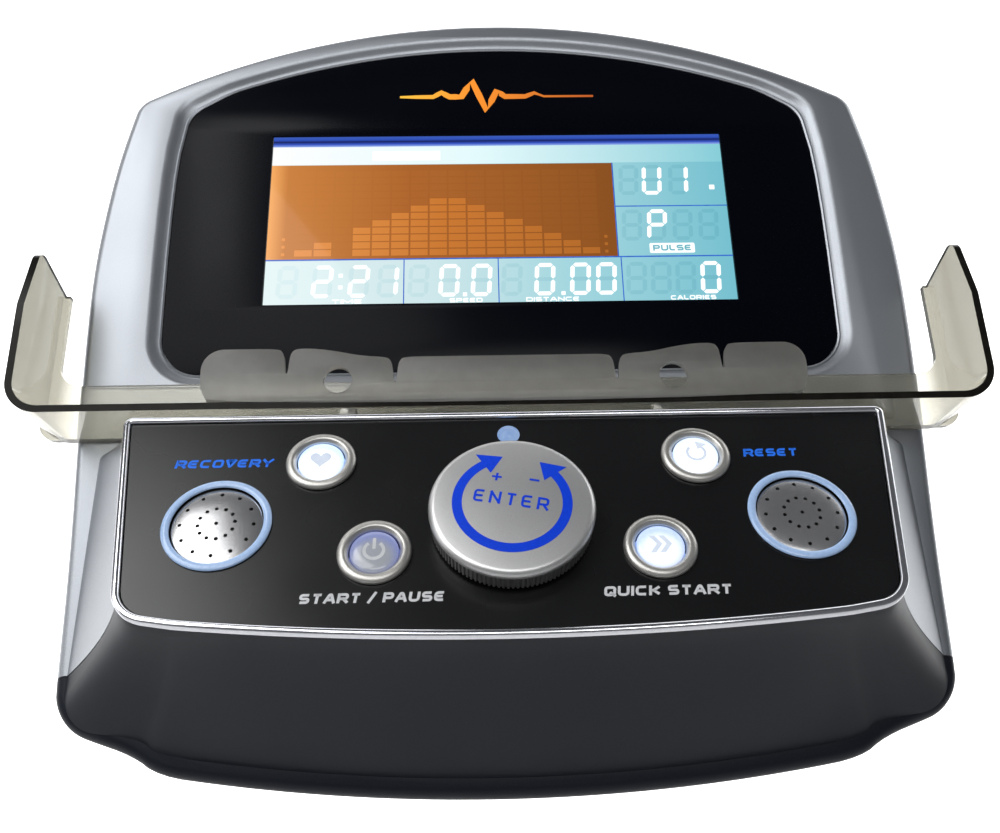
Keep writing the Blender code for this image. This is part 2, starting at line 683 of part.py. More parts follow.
def make_rear_cover():
    outline = shell_outline()
    top = PARTING - GAP
    back = top - REAR_DEPTH
    centre = (0, -25 * MM)
    cover = loft(
        "rear_cover",
        [
            at_height(scaled(outline, 0.66, centre), back),
            at_height(scaled(outline, 0.80, centre), back + 5 * MM),
            at_height(scaled(outline, 0.975, centre), top - 14 * MM),
            at_height(outline, top - 6 * MM),
            at_height(outline, top),
        ],
    )
    add(cover, DISPLAY, BLACK)
    hollow = loft(
        "hollow",
        [
            at_height(inset(scaled(outline, 0.66, centre), WALL), back + WALL),
            at_height(inset(scaled(outline, 0.80, centre), WALL), back + 5 * MM + WALL),
            at_height(inset(scaled(outline, 0.975, centre), WALL), top - 13 * MM),
            at_height(inset(outline, WALL), top - 6 * MM),
            at_height(inset(outline, WALL), top + OVERLAP),
        ],
    )
    cut(cover, hollow)
    pad = rounded(
        [
            (PAD_HALF, PAD_Y + PAD_HALF_HEIGHT, 10 * MM),
            (PAD_HALF, PAD_Y - PAD_HALF_HEIGHT, 10 * MM),
            (-PAD_HALF, PAD_Y - PAD_HALF_HEIGHT, 10 * MM),
            (-PAD_HALF, PAD_Y + PAD_HALF_HEIGHT, 10 * MM),
        ],
        4,
    )
    join(cover, plate("pad", [pad], back - PAD_RISE, back + WALL / 2))
    seat = back - PAD_RISE - OVERLAP
    for place in insert_places():
        cut(cover, cylinder("insert_hole", INSERT_RADIUS + GAP, seat, back + 2 * WALL, place, 16))
    cut(cover, cylinder("cable_hole", GROMMET_RADIUS + GAP, seat, back + 2 * WALL, (0, GROMMET_Y), 20))
    for x, y in CASE_SCREWS:
        join(cover, cylinder("pillar", BOSS_RADIUS + 1.5 * MM, top - 18 * MM, top, (x, y), 12))
        cut(cover, cylinder("well", SCREW_HEAD + 2 * GAP, back - 20 * MM, SCREW_SEAT - GAP, (x, y), 12))
        cut(cover, cylinder("clearance", SCREW_RADIUS + GAP, back - 20 * MM, top + OVERLAP, (x, y), 8))
    for row in range(VENT_ROWS):
        for side in (-1, 1):
            slot = rectangle((side * 32 * MM, 30 * MM + row * VENT_PITCH), VENT_SIZE)
            cut(cover, plate("vent", [slot], back - OVERLAP, back + 2 * WALL))
    return shade(cover)


def insert_places():
    reach = INSERT_PITCH / 2
    return [(sx * reach, PAD_Y + sy * reach) for sy in (1, -1) for sx in (-1, 1)]


def tube_profile(radius, bore, low, high):
    return [(radius, high), (radius, low), (bore, low), (bore, high)]


def make_mast_fittings():
    back = PARTING - GAP - REAR_DEPTH - PAD_RISE
    for i, place in enumerate(insert_places(), 1):
        profile = tube_profile(INSERT_RADIUS, INSERT_BORE, back + GAP, back + INSERT_END)
        turned(f"mast_insert_{i}", profile, DISPLAY, BRASS, place, 16)
    profile = tube_profile(GROMMET_RADIUS, GROMMET_BORE, back + GAP, back + GROMMET_END)
    turned("cable_grommet", profile, DISPLAY, RUBBER, (0, GROMMET_Y), 20)
    for i, place in enumerate(CASE_SCREWS, 1):
        profile = [
            (0, -3.5 * MM),
            (SCREW_RADIUS, -4.5 * MM),
            (SCREW_RADIUS, SCREW_SEAT - 2 * GAP),
            (SCREW_HEAD, SCREW_SEAT - 2 * GAP),
            (SCREW_HEAD * 0.9, SCREW_SEAT - 2 * GAP - SCREW_HEAD_THICK),
            (0, SCREW_SEAT - 2 * GAP - SCREW_HEAD_THICK - 0.3 * MM),
        ]
        turned(f"case_screw_{i}", profile, DISPLAY, STEEL, place, 12)


# ---- display stack ----


def window_rect(grow):
    half = WINDOW_HALF + grow
    return [(-half, -grow), (half, -grow), (half, WINDOW_HEIGHT + grow), (-half, WINDOW_HEIGHT + grow)]


def make_display():
    add(plate("display_lens", [lens_outline()], -LENS_THICK, 0), DISPLAY, CLEAR)
    mask_top = -LENS_THICK - GAP
    mask_low = mask_top - MASK_THICK
    mask = plate("lens_mask", [lens_outline(-SEAT_LEDGE - GAP), window_rect(0)], mask_low, mask_top)
    add(mask, DISPLAY, GLOSS)
    glass_top = mask_low - GAP
    glass_low = glass_top - LCD_THICK
    add(plate("lcd_glass", [window_rect(LCD_MARGIN)], glass_low, glass_top), DISPLAY, LCD)
    light_low = glass_low - GAP - BACKLIGHT_THICK
    add(plate("lcd_backlight", [window_rect(LCD_MARGIN)], light_low, glass_low - GAP), DISPLAY, GLOW)
    frame = plate(
        "lcd_frame",
        [window_rect(LCD_MARGIN + GAP + FRAME_WIDTH), window_rect(LCD_MARGIN + GAP)],
        light_low,
        glass_top,
    )
    add(frame, DISPLAY, STEEL)
    board_top = light_low - 3 * MM
    edge = LCD_MARGIN + GAP + FRAME_WIDTH
    for sx in (-1, 1):
        for y in (LEG_INSET, WINDOW_HEIGHT - LEG_INSET):
            place = (sx * (WINDOW_HALF + edge - FRAME_WIDTH / 2), y)
            join(frame, cylinder("leg", LEG_RADIUS, board_top + GAP, light_low + MM, place, 8))
    board_low = board_top - MAIN_BOARD_THICK
    add(plate("main_board", [window_rect(edge)], board_low, board_top), DISPLAY, BOARD)
    part_top = board_low - GAP
    box("main_chip", (30 * MM, 48 * MM, part_top - 0.8 * MM), (14 * MM, 14 * MM, 1.6 * MM), BLACK, DISPLAY)
    box("harness_socket", (0, 10 * MM, part_top - 4 * MM), (16 * MM, 8 * MM, 8 * MM), LCD, DISPLAY)
    add(cylinder("buzzer", 6 * MM, part_top - 7 * MM, part_top, (-58 * MM, 52 * MM), 20), DISPLAY, BLACK)
    return part_top


def make_keypad_ribbon(start_height):
    """A flat cable from the back of the main board to the underside of the keypad board."""
    end = panel_to_display((0, 26 * MM, BOARD_TOP - BOARD_THICK - GAP))
    below = panel_to_display((0, 26 * MM, BOARD_TOP - BOARD_THICK - 9 * MM))
    route = [
        Vector((0, -8 * MM, start_height - 0.4 * MM)),
        Vector((0, -22 * MM, start_height - 0.6 * MM)),
        Vector((0, -45 * MM, -13 * MM)),
        Vector((0, -66 * MM, -4 * MM)),
        Vector((0, -77 * MM, 8 * MM)),
        below,
        end,
    ]
    half = 0.35 * MM
    upper, lower = [], []
    for i, here in enumerate(route):
        ahead = route[min(i + 1, len(route) - 1)] - route[max(i - 1, 0)]
        normal = Vector((0, -ahead.z, ahead.y)).normalized() * half
        upper.append(here + normal)
        lower.append(here - normal)
    ring = upper + lower[::-1]
    width = 10 * MM
    ribbon = loft("keypad_ribbon", [[(x, p.y, p.z) for p in ring] for x in (-width, width)])
    return add(ribbon, DISPLAY, PAPER)


# ---- control panel ----


def make_panel():
    trim = plate("panel_trim", [panel_outline(), panel_outline(TRIM_WIDTH)], RIM_TOP + GAP, TRIM_RISE)
    add(trim, PANEL, CHROME)
    holes = [circle(CAP_RADIUS + CAP_GUIDE, 20, place) for place in BUTTONS.values()]
    holes += [circle(GRILLE_RADIUS + GAP, 32, (side * SPEAKER_X, SPEAKER_Y)) for side in (-1, 1)]
    holes += [circle(NUT_FLATS * 0.58 + GAP, 16), circle(INDICATOR_STEM + GAP, 12, (0, INDICATOR_Y))]
    add(plate("panel_overlay", [panel_outline(TRIM_WIDTH + GAP), *holes], -OVERLAY_THICK, 0), PANEL, GLOSS)
    deck_top = RIM_TOP
    deck_low = deck_top - DECK_THICK
    holes = [circle(CAP_RADIUS + CAP_GUIDE, 20, place) for place in BUTTONS.values()]
    holes += [circle(GRILLE_RADIUS - 1.6 * MM, 24, (side * SPEAKER_X, SPEAKER_Y)) for side in (-1, 1)]
    holes += [circle(BUSH_RADIUS + GAP, 16), circle(INDICATOR_STEM + GAP, 12, (0, INDICATOR_Y))]
    deck = plate("control_deck", [panel_outline(RIM_WIDTH + GAP), *holes], deck_low, deck_top)
    add(deck, PANEL, BLACK)
    for sx in (-1, 1):
        for y in (BOARD_Y[0] + 4 * MM, BOARD_Y[1] - 4 * MM):
            place = (sx * (BOARD_HALF - 4 * MM), y)
            join(deck, cylinder("post", POST_RADIUS, BOARD_TOP + GAP, deck_low + MM, place, 8))
    shade(deck)
    corners = rectangle((0, sum(BOARD_Y) / 2), (2 * BOARD_HALF, BOARD_Y[1] - BOARD_Y[0]))
    board = rounded([(x, y, 3 * MM) for x, y in reversed(corners)], 2)
    add(plate("keypad_board", [board], BOARD_TOP - BOARD_THICK, BOARD_TOP), PANEL, BOARD)


def pin_profile(radius, low, high):
    return [(0, high), (radius, high), (radius, low), (0, low)]


def make_button(name, place):
    flange_top = RIM_TOP - DECK_THICK - GAP
    flange_low = flange_top - CAP_FLANGE_THICK
    stem_top = flange_low - GAP
    switch_low = BOARD_TOP + GAP
    switch_top = switch_low + SWITCH_HEIGHT
    bezel = [
        (BEZEL_RADIUS - 1.4 * MM, BEZEL_RISE),
        (BEZEL_RADIUS - 0.3 * MM, BEZEL_RISE - 0.6 * MM),
        (BEZEL_RADIUS, GAP),
        (BEZEL_BORE, GAP),
        (BEZEL_BORE, BEZEL_RISE - 0.9 * MM),
        (BEZEL_BORE + 1.3 * MM, BEZEL_RISE),
    ]
    turned(f"button_bezel_{name}", bezel, PANEL, SATIN, place)
    cap = [
        (0, CAP_TOP + CAP_DOME),
        (CAP_RADIUS * 0.6, CAP_TOP + CAP_DOME * 0.65),
        (CAP_RADIUS, CAP_TOP - 0.2 * MM),
        (CAP_RADIUS, flange_top),
        (CAP_FLANGE, flange_top),
        (CAP_FLANGE, flange_low),
        (0, flange_low),
    ]
    turned(f"button_cap_{name}", cap, PANEL, GLOW, place, 24)
    stem_low = switch_top - STEM_SINK
    turned(f"switch_stem_{name}", pin_profile(STEM_RADIUS, stem_low, stem_top), PANEL, BLACK, place, 12)
    centre = (*place, (switch_low + switch_top) / 2)
    switch = box(f"switch_body_{name}", centre, (SWITCH_SIDE, SWITCH_SIDE, SWITCH_HEIGHT), STEEL, PANEL)
    bore_low = stem_low - PRESS - 2 * GAP
    cut(switch, cylinder("stem_bore", STEM_RADIUS + GAP, bore_low, switch_top + OVERLAP, place, 12))


def ridged_circle(radius, depth, ridges):
    """A circle whose edge goes in and out once for each ridge."""
    turn = 2 * math.pi / ridges
    return [
        (r * math.cos(a), r * math.sin(a))
        for i in range(ridges)
        for r, a in ((radius, i * turn), (radius - depth, (i + 0.5) * turn))
    ]


def make_dial():
    grip_top = CAP_SPLIT - GAP
    outer = DIAL_RADIUS - 0.4 * MM
    ridged = ridged_circle(outer, GRIP_DEPTH, GRIP_RIDGES)
    grip = loft("dial_grip", [at_height(ridged, DIAL_FOOT), at_height(ridged, grip_top)])
    add(grip, PANEL, SATIN)
    cut(grip, cylinder("skirt", outer - GRIP_WALL, DIAL_FOOT - OVERLAP, CAP_SPLIT - 2.0 * MM, steps=40))
    hub_low = BUSH_TOP + PRESS + GAP + 0.1 * MM
    join(grip, cylinder("hub", HUB_RADIUS, hub_low, CAP_SPLIT - 1.2 * MM, steps=24))
    cut(grip, cylinder("hub_bore", SHAFT_RADIUS + GAP, hub_low - OVERLAP, CAP_SPLIT + OVERLAP, steps=20))
    shade(grip)
    cap = [
        (0, DIAL_TOP + DIAL_DOME),
        (DIAL_RADIUS * 0.5, DIAL_TOP + DIAL_DOME * 0.8),
        (DIAL_RADIUS - DIAL_EDGE - 2 * MM, DIAL_TOP + 0.1 * MM),
        (DIAL_RADIUS - 0.6 * DIAL_EDGE, DIAL_TOP - 0.45 * DIAL_EDGE),
        (DIAL_RADIUS, DIAL_TOP - DIAL_EDGE),
        (DIAL_RADIUS, CAP_SPLIT),
        (0, CAP_SPLIT),
    ]
    turned("dial_cap", cap, PANEL, SATIN, steps=64)
    body_low = BOARD_TOP + GAP
    body_top = RIM_TOP - DECK_THICK - GAP
    shaft_low = body_low + 2.6 * MM
    centre = (0, 0, (body_low + body_top) / 2)
    size = (ENCODER_SIDE, ENCODER_SIDE, body_top - body_low)
    encoder = box("encoder_body", centre, size, STEEL, PANEL)
    join(encoder, cylinder("bush", BUSH_RADIUS, body_top - MM, BUSH_TOP, steps=20))
    bore_low = body_low + 0.6 * MM
    cut(encoder, cylinder("shaft_bore", SHAFT_RADIUS + GAP, bore_low, BUSH_TOP + OVERLAP, steps=20))
    turned("encoder_shaft", pin_profile(SHAFT_RADIUS, shaft_low, SHAFT_TOP), PANEL, STEEL, steps=20)
    plunger = pin_profile(SHAFT_RADIUS - 0.6 * MM, bore_low + PRESS + GAP, shaft_low - GAP)
    turned("encoder_plunger", plunger, PANEL, BLACK, steps=12)
    hexagon = circle(NUT_FLATS / 2 / math.cos(math.pi / 6), 6)
    add(plate("encoder_nut", [hexagon, circle(BUSH_RADIUS + GAP, 20)], RIM_TOP + GAP, BUSH_TOP), PANEL, STEEL)


def make_indicator():
    profile = [
        (0, GAP + 2.1 * MM),
        (INDICATOR_RADIUS * 0.55, GAP + 1.7 * MM),
        (INDICATOR_RADIUS * 0.9, GAP + 0.9 * MM),
        (INDICATOR_RADIUS, GAP),
        (INDICATOR_STEM, GAP),
        (INDICATOR_STEM, -6 * MM),
        (0, -6 * MM),
    ]
    turned("indicator_lens", profile, PANEL, BLUE, (0, INDICATOR_Y), 20)


def make_speaker(side_name, side):
    place = (side * SPEAKER_X, SPEAKER_Y)
    ring = [
        (RING_RADIUS - 0.6 * MM, RING_RISE),
        (RING_RADIUS, RING_RISE - 0.4 * MM),
        (RING_RADIUS, GAP),
        (RING_BORE, GAP),
        (RING_BORE, RING_RISE),
    ]
    turned(f"speaker_ring_{side_name}", ring, PANEL, BLUE, place)
    low = RIM_TOP + GAP
    dome = [
        (0, low + GRILLE_THICK + GRILLE_DOME),
        (GRILLE_RADIUS * 0.55, low + GRILLE_THICK + GRILLE_DOME * 0.7),
        (GRILLE_RADIUS, low + GRILLE_THICK * 0.8),
        (GRILLE_RADIUS, low),
        (GRILLE_RADIUS - 1.2 * MM, low),
        (GRILLE_RADIUS * 0.55, low + GRILLE_DOME * 0.7),
        (0, low + GRILLE_DOME),
    ]
    grille = freeze(turned(f"speaker_grille_{side_name}", dome, PANEL, SATIN, steps=24))
    holes = [cylinder("hole", GRILLE_HOLE, low - OVERLAP, low + 4 * MM, steps=6)]
    for radius, count in GRILLE_RINGS:
        for x, y in circle(radius, count):
            holes.append(cylinder("hole", GRILLE_HOLE, low - OVERLAP, low + 4 * MM, (x, y), 6))
    drill = holes.pop()
    bm = bmesh.new()
    bm.from_mesh(drill.data)
    for hole in holes:
        bm.from_mesh(hole.data)
        bpy.data.objects.remove(hole)
    bm.to_mesh(drill.data)
    bm.free()
    cut(grille, drill)
    grille.location = (*place, 0)
    deck_low = RIM_TOP - DECK_THICK
    rim = deck_low - GAP
    back = rim - (DRIVER_DEPTH - MAGNET_THICK)
    basket = [
        (DRIVER_RADIUS, rim),
        (DRIVER_RADIUS, rim - 1.5 * MM),
        (MAGNET_RADIUS + 1 * MM, back + 1.5 * MM),
        (MAGNET_RADIUS, back),
        (MAGNET_RADIUS, back - MAGNET_THICK),
        (0, back - MAGNET_THICK),
        (0, back + 1.0 * MM),
        (MAGNET_RADIUS - 1 * MM, back + 1.0 * MM),
        (CONE_RADIUS + 1 * MM, rim - 2.5 * MM),
        (CONE_RADIUS + 1 * MM, rim),
    ]
    turned(f"speaker_basket_{side_name}", basket, PANEL, STEEL, place, 24)
    front = rim - 1.4 * MM
    cone = [
        (CONE_RADIUS - 1.2 * MM, front),
        (CONE_RADIUS, front - 0.6 * MM),
        (CONE_RADIUS - 1.2 * MM, front - 1.2 * MM),
        (4 * MM, front - 5.0 * MM),
        (4 * MM, front - 7.0 * MM),
        (0, front - 7.0 * MM),
        (0, front - 2.6 * MM),
        (4 * MM, front - 3.8 * MM),
    ]
    turned(f"speaker_cone_{side_name}", cone, PANEL, PAPER, place, 24)


# ---- reading rack ----


def rack_channel():
    """Floor and two wings of the rack as one U-shaped strip, seen from the front."""
    left, right = ((side * (RACK_HALF - RACK_CORNER), RACK_FLOOR + RACK_CORNER) for side in (-1, 1))
    top = WING_PEAK[0] + OVERLAP
    outer = [(-RACK_HALF, top)]
    outer += arc_points(left, RACK_CORNER, math.pi, 1.5 * math.pi, 6)
    outer += arc_points(right, RACK_CORNER, -0.5 * math.pi, 0, 6)
    outer.append((RACK_HALF, top))
    bend = RACK_CORNER - RACK_THICK
    inner = [(RACK_HALF - RACK_THICK, top)]
    inner += arc_points(right, bend, 0, -0.5 * math.pi, 6)
    inner += arc_points(left, bend, 1.5 * math.pi, math.pi, 6)
    inner.append((-RACK_HALF + RACK_THICK, top))
    return outer + inner


def rack_flange():
    """Back flange that lies on the housing face and runs up behind each wing."""
    edge, floor = RACK_HALF - FLANGE_STEP, RACK_FLOOR + FLANGE_STEP
    inner = RACK_HALF - FLANGE_STRIP
    corner = FLANGE_CORNER
    right = [(edge, floor + corner), (edge, WING_TOP - 1.0 * MM), (inner, WING_TOP - 1.0 * MM)]
    right += arc_points((inner - 8 * MM, FLANGE_TOP + 8 * MM), 8 * MM, 0, -0.5 * math.pi, 5)
    left = [(-x, y) for x, y in reversed(right)]
    bottom = arc_points((-edge + corner, floor + corner), corner, math.pi, 1.5 * math.pi, 4)[1:]
    bottom += arc_points((edge - corner, floor + corner), corner, -0.5 * math.pi, 0, 4)[:-1]
    return right + left + bottom


def lip_outline():
    """Front lip: five tabs parted by notches, taller at its ends, with rounded shoulders."""
    inner_notch, outer_notch = LIP_NOTCHES
    slit = NOTCH_WIDTH / 2
    top, low = LIP_OUTER_TOP, LIP_INNER_TOP
    right = [(inner_notch - NOTCH_FLARE, low)]
    for x, left_top, right_top in ((inner_notch, low, low), (outer_notch, top, top)):
        right += [(x - slit - 0.6 * MM, left_top - 1.6 * MM), (x - slit, left_top - 3.2 * MM)]
        right += [(x, left_top - NOTCH_DEPTH), (x + slit, right_top - 3.2 * MM)]
        right += [(x + slit + 0.6 * MM, right_top - 1.6 * MM), (x + NOTCH_FLARE, right_top)]
        if x == inner_notch:
            last = outer_notch - NOTCH_FLARE
            right += [(x + 12 * MM, low + 0.4 * MM), (last - 8 * MM, top - 0.2 * MM), (last, top)]
    right += arc_points((LIP_HALF - LIP_ROUND, top - LIP_ROUND), LIP_ROUND, 0.5 * math.pi, 0, 6)
    right += [(LIP_HALF - 0.3 * MM, RACK_FLOOR + 8.0 * MM), (LIP_HALF - 3.5 * MM, RACK_FLOOR + 1.0 * MM)]
    return [(-x, y) for x, y in reversed(right)] + right


def make_rack():
    rack = plate("reading_rack", [rack_channel()], RACK_BACK, RACK_FRONT)
    add(rack, DISPLAY, SMOKE)
    low, front = RACK_FLOOR - OVERLAP, RACK_FRONT + OVERLAP
    back = RACK_BACK - OVERLAP
    lean = OVERLAP * (WING_PEAK[0] - WING_BEND) / (RACK_FRONT - WING_PEAK[1])
    side = rounded(
        [
            (low, back, 0),
            (low, front, 0),
            (WING_BEND - lean, front, 0),
            (*WING_PEAK, WING_ROUND),
            (WING_TOP, back, 0),
        ]
    )
    reach = RACK_HALF + OVERLAP
    combine(rack, loft("wing_ends", [[(x, y, z) for y, z in side] for x in (-reach, reach)]), "INTERSECT")
    join(rack, plate("flange", [rack_flange()], RACK_BACK, RACK_BACK + RACK_THICK))
    access = [circle(ACCESS_RADIUS, 20, (side * ACCESS_X, ACCESS_Y)) for side in (-1, 1)]
    lip_front = RACK_FRONT - 0.02 * MM
    join(rack, plate("lip", [lip_outline(), *access], RACK_FRONT - RACK_THICK, lip_front))
    for side in (-1, 1):
        place = (side * ACCESS_X, ACCESS_Y)
        cut(rack, cylinder("screw_hole", RACK_SCREW_RADIUS + GAP, 0, 12 * MM, place, 10))
    shade(rack)
    seat = RACK_BACK + RACK_THICK + GAP
    for side, name in ((-1, "left"), (1, "right")):
        profile = [
            (0, seat + 2.2 * MM),
            (RACK_SCREW_HEAD * 0.85, seat + 1.7 * MM),
            (RACK_SCREW_HEAD, seat),
            (RACK_SCREW_RADIUS, seat),
            (RACK_SCREW_RADIUS, -4 * MM),
            (0, -5 * MM),
        ]
        turned(f"rack_screw_{name}", profile, DISPLAY, STEEL, (side * ACCESS_X, ACCESS_Y), 12)


def main():
    make_front_housing()
    make_lower_shroud()
    make_rear_cover()
    make_mast_fittings()
    ribbon_start = make_display()
    make_keypad_ribbon(ribbon_start)
    make_panel()
    for name, place in BUTTONS.items():
        make_button(name, place)
    make_dial()
    make_indicator()
    make_speaker("left", -1)
    make_speaker("right", 1)
    make_rack()


main()
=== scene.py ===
"""Looks of the console: finer visible shells, display content, lettering, materials, light and camera.

Pieces are built in one of two working frames, in metres: the display frame, with its origin at the bottom
centre of the LCD window, and the panel frame, with its origin under the jog dial.
"""

import math

import bmesh
import bpy
from mathutils import Matrix, Vector


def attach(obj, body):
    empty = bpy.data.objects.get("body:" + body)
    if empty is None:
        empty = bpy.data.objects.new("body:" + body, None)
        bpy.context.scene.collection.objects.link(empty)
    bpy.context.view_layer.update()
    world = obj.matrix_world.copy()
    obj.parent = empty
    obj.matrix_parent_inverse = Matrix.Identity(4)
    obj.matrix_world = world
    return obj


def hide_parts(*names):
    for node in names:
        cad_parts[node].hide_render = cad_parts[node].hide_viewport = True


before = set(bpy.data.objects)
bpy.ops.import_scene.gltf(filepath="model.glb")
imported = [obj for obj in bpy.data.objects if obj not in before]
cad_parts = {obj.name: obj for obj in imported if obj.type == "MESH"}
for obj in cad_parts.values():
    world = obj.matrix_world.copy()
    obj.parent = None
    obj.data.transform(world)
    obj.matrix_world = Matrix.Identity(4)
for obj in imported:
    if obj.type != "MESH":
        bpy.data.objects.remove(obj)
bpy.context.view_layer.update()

MM = 0.001
GAP = 0.3 * MM
OVERLAP = 1.0 * MM

# ---- frames and sizes, as in the CAD ----
DISPLAY_TILT = math.radians(50.0)
PANEL_BREAK = math.radians(20.8)
PANEL_ORIGIN = Vector((0, -101.4, 51.3)) * MM
PAD_CENTRE = Vector((0, -70.0, -66.3)) * MM
TURN = Matrix.Rotation(DISPLAY_TILT, 4, "X")
DISPLAY = TURN @ Matrix.Translation(-PAD_CENTRE)
PANEL = DISPLAY @ Matrix.Translation(PANEL_ORIGIN) @ Matrix.Rotation(-PANEL_BREAK, 4, "X")

LENS_HALF, LENS_TOP, LENS_BOTTOM = 131.0 * MM, 121.0 * MM, -29.0 * MM
LENS_SHOULDER, LENS_CORNER, LENS_THICK = 93.0 * MM, 15.0 * MM, 2.0 * MM
ARCH_RADIUS = 300.0 * MM
WINDOW_HALF, WINDOW_HEIGHT = 93.2 * MM, 78.3 * MM
BEZEL_RIM, BEZEL_SLOPE = 2.0 * MM, 4.0 * MM
SEAT_LEDGE, SEAT_THICK = 3.0 * MM, 2.2 * MM

FACE, WALL, PARTING = 2.5 * MM, 2.5 * MM, -14.0 * MM
SHELL_HALF, SHELL_TOP = 160.0 * MM, 135.0 * MM
SHELL_SHOULDER_HALF, SHELL_CORNER = 145.5 * MM, 12.0 * MM
SHELL_FOOT_HALF, SHELL_FOOT, SHELL_FOOT_CORNER = 153.8 * MM, -160.5 * MM, 18.0 * MM
SHELL_BOTTOM, FOOT_ARC = -181.5 * MM, 680.0 * MM
SHOULDER_X, LOBE_VALLEY, LOBE_STEP = 117.0 * MM, 9.0 * MM, 6.5 * MM
SPLIT_LOW = Vector((0, -143.0, -8.0)) * MM
SPLIT_HIGH = Vector((0, -119.0, 58.5)) * MM
SPLIT_GAP = 0.5 * MM

PANEL_TOP, PANEL_HALF, PANEL_FOOT_HALF = 44.3 * MM, 127.5 * MM, 115.0 * MM
PANEL_FOOT, PANEL_BOTTOM, PANEL_CORNER = -31.5 * MM, -39.8 * MM, 13.0 * MM
PANEL_FOOT_SHARE, PANEL_FOOT_ARC = 0.82, 1350.0 * MM
RIM_TOP, RIM_WIDTH, DECK_THICK = -1.3 * MM, 5.0 * MM, 2.5 * MM
MODULE_TOP, MODULE_HALF, MODULE_FOOT_HALF = -60.4 * MM, 147.0 * MM, 149.3 * MM
MODULE_INSET = 6.5 * MM
TRIM_WIDTH, TRIM_RISE = 2.4 * MM, 1.3 * MM

BUTTONS = {
    "recovery": (-60.4 * MM, 24.3 * MM),
    "reset": (60.4 * MM, 24.3 * MM),
    "start_pause": (-41.4 * MM, -10.7 * MM),
    "quick_start": (44.4 * MM, -10.7 * MM),
}
SPEAKERS = {"left": (-89.9 * MM, 0.6 * MM), "right": (89.9 * MM, 0.6 * MM)}
DIAL_RADIUS, DIAL_TOP, DIAL_DOME, DIAL_EDGE = 25.3 * MM, 9.5 * MM, 1.2 * MM, 2.0 * MM
CAP_SPLIT = 6.8 * MM
RING_INNER, RING_OUTER = 15.1 * MM, 18.1 * MM
RING_START, RING_END = 120, 397  # degrees
PRINT_TURN = math.radians(-11)
INDICATOR_Y = 34.6 * MM

RACK_HALF, RACK_THICK, RACK_FRONT = 169.5 * MM, 2.5 * MM, 34.6 * MM
RACK_BACK, RACK_FLOOR = FACE + GAP, -56.5 * MM
WING_TOP, WING_PEAK, WING_BEND, WING_ROUND = 3.0 * MM, (9.4 * MM, 28.0 * MM), -16.0 * MM, 5.0 * MM
RACK_CORNER, FLANGE_TOP, FLANGE_STRIP = 12.0 * MM, -35.0 * MM, 5.0 * MM
FLANGE_CORNER, FLANGE_STEP = 6.5 * MM, 0.3 * MM
LIP_HALF, LIP_OUTER_TOP, LIP_INNER_TOP, LIP_ROUND = 104.0 * MM, -34.6 * MM, -38.2 * MM, 7.5 * MM
LIP_NOTCHES, NOTCH_DEPTH, NOTCH_WIDTH, NOTCH_FLARE = (38.0 * MM, 75.0 * MM), 9.5 * MM, 1.8 * MM, 3.0 * MM
ACCESS_X, ACCESS_Y, ACCESS_RADIUS = 57.5 * MM, -46.3 * MM, 4.9 * MM

# ---- procedural materials ----


class Nodes:
    """A short way to add and link shader nodes."""

    def __init__(self, tree):
        self.tree = tree

    def add(self, kind, **values):
        node = self.tree.nodes.new(kind)
        for key, value in values.items():
            setattr(node, key, value)
        return node

    def link(self, output, target):
        self.tree.links.new(output, target)

    def noise(self, scale, detail):
        coords = self.add("ShaderNodeTexCoord")
        noise = self.add("ShaderNodeTexNoise")
        noise.inputs["Scale"].default_value = scale
        noise.inputs["Detail"].default_value = detail
        self.link(coords.outputs["Object"], noise.inputs["Vector"])
        return noise.outputs["Fac"]

    def ramp(self, value, stops, smooth=False):
        ramp = self.add("ShaderNodeValToRGB")
        if smooth:
            ramp.color_ramp.interpolation = "EASE"
        while len(ramp.color_ramp.elements) < len(stops):
            ramp.color_ramp.elements.new(0.5)
        for element, (place, color) in zip(ramp.color_ramp.elements, stops):
            element.position = place
            element.color = (*color, 1.0)
        self.link(value, ramp.inputs["Fac"])
        return ramp.outputs["Color"]

    def spread(self, value, low, high):
        mapped = self.add("ShaderNodeMapRange")
        mapped.inputs["From Min"].default_value = 0.25
        mapped.inputs["From Max"].default_value = 0.75
        mapped.inputs["To Min"].default_value = low
        mapped.inputs["To Max"].default_value = high
        self.link(value, mapped.inputs["Value"])
        return mapped.outputs["Result"]

    def along(self, axis, low, high):
        """0 to 1 along a local axis between two places."""
        coords = self.add("ShaderNodeTexCoord")
        parts = self.add("ShaderNodeSeparateXYZ")
        self.link(coords.outputs["Object"], parts.inputs["Vector"])
        mapped = self.add("ShaderNodeMapRange")
        mapped.inputs["From Min"].default_value = low
        mapped.inputs["From Max"].default_value = high
        self.link(parts.outputs[axis], mapped.inputs["Value"])
        return mapped.outputs["Result"]

    def bump(self, height, strength, distance):
        bump = self.add("ShaderNodeBump")
        bump.inputs["Strength"].default_value = strength
        bump.inputs["Distance"].default_value = distance
        self.link(height, bump.inputs["Height"])
        return bump.outputs["Normal"]


def grey(value):
    return (value, value, value)


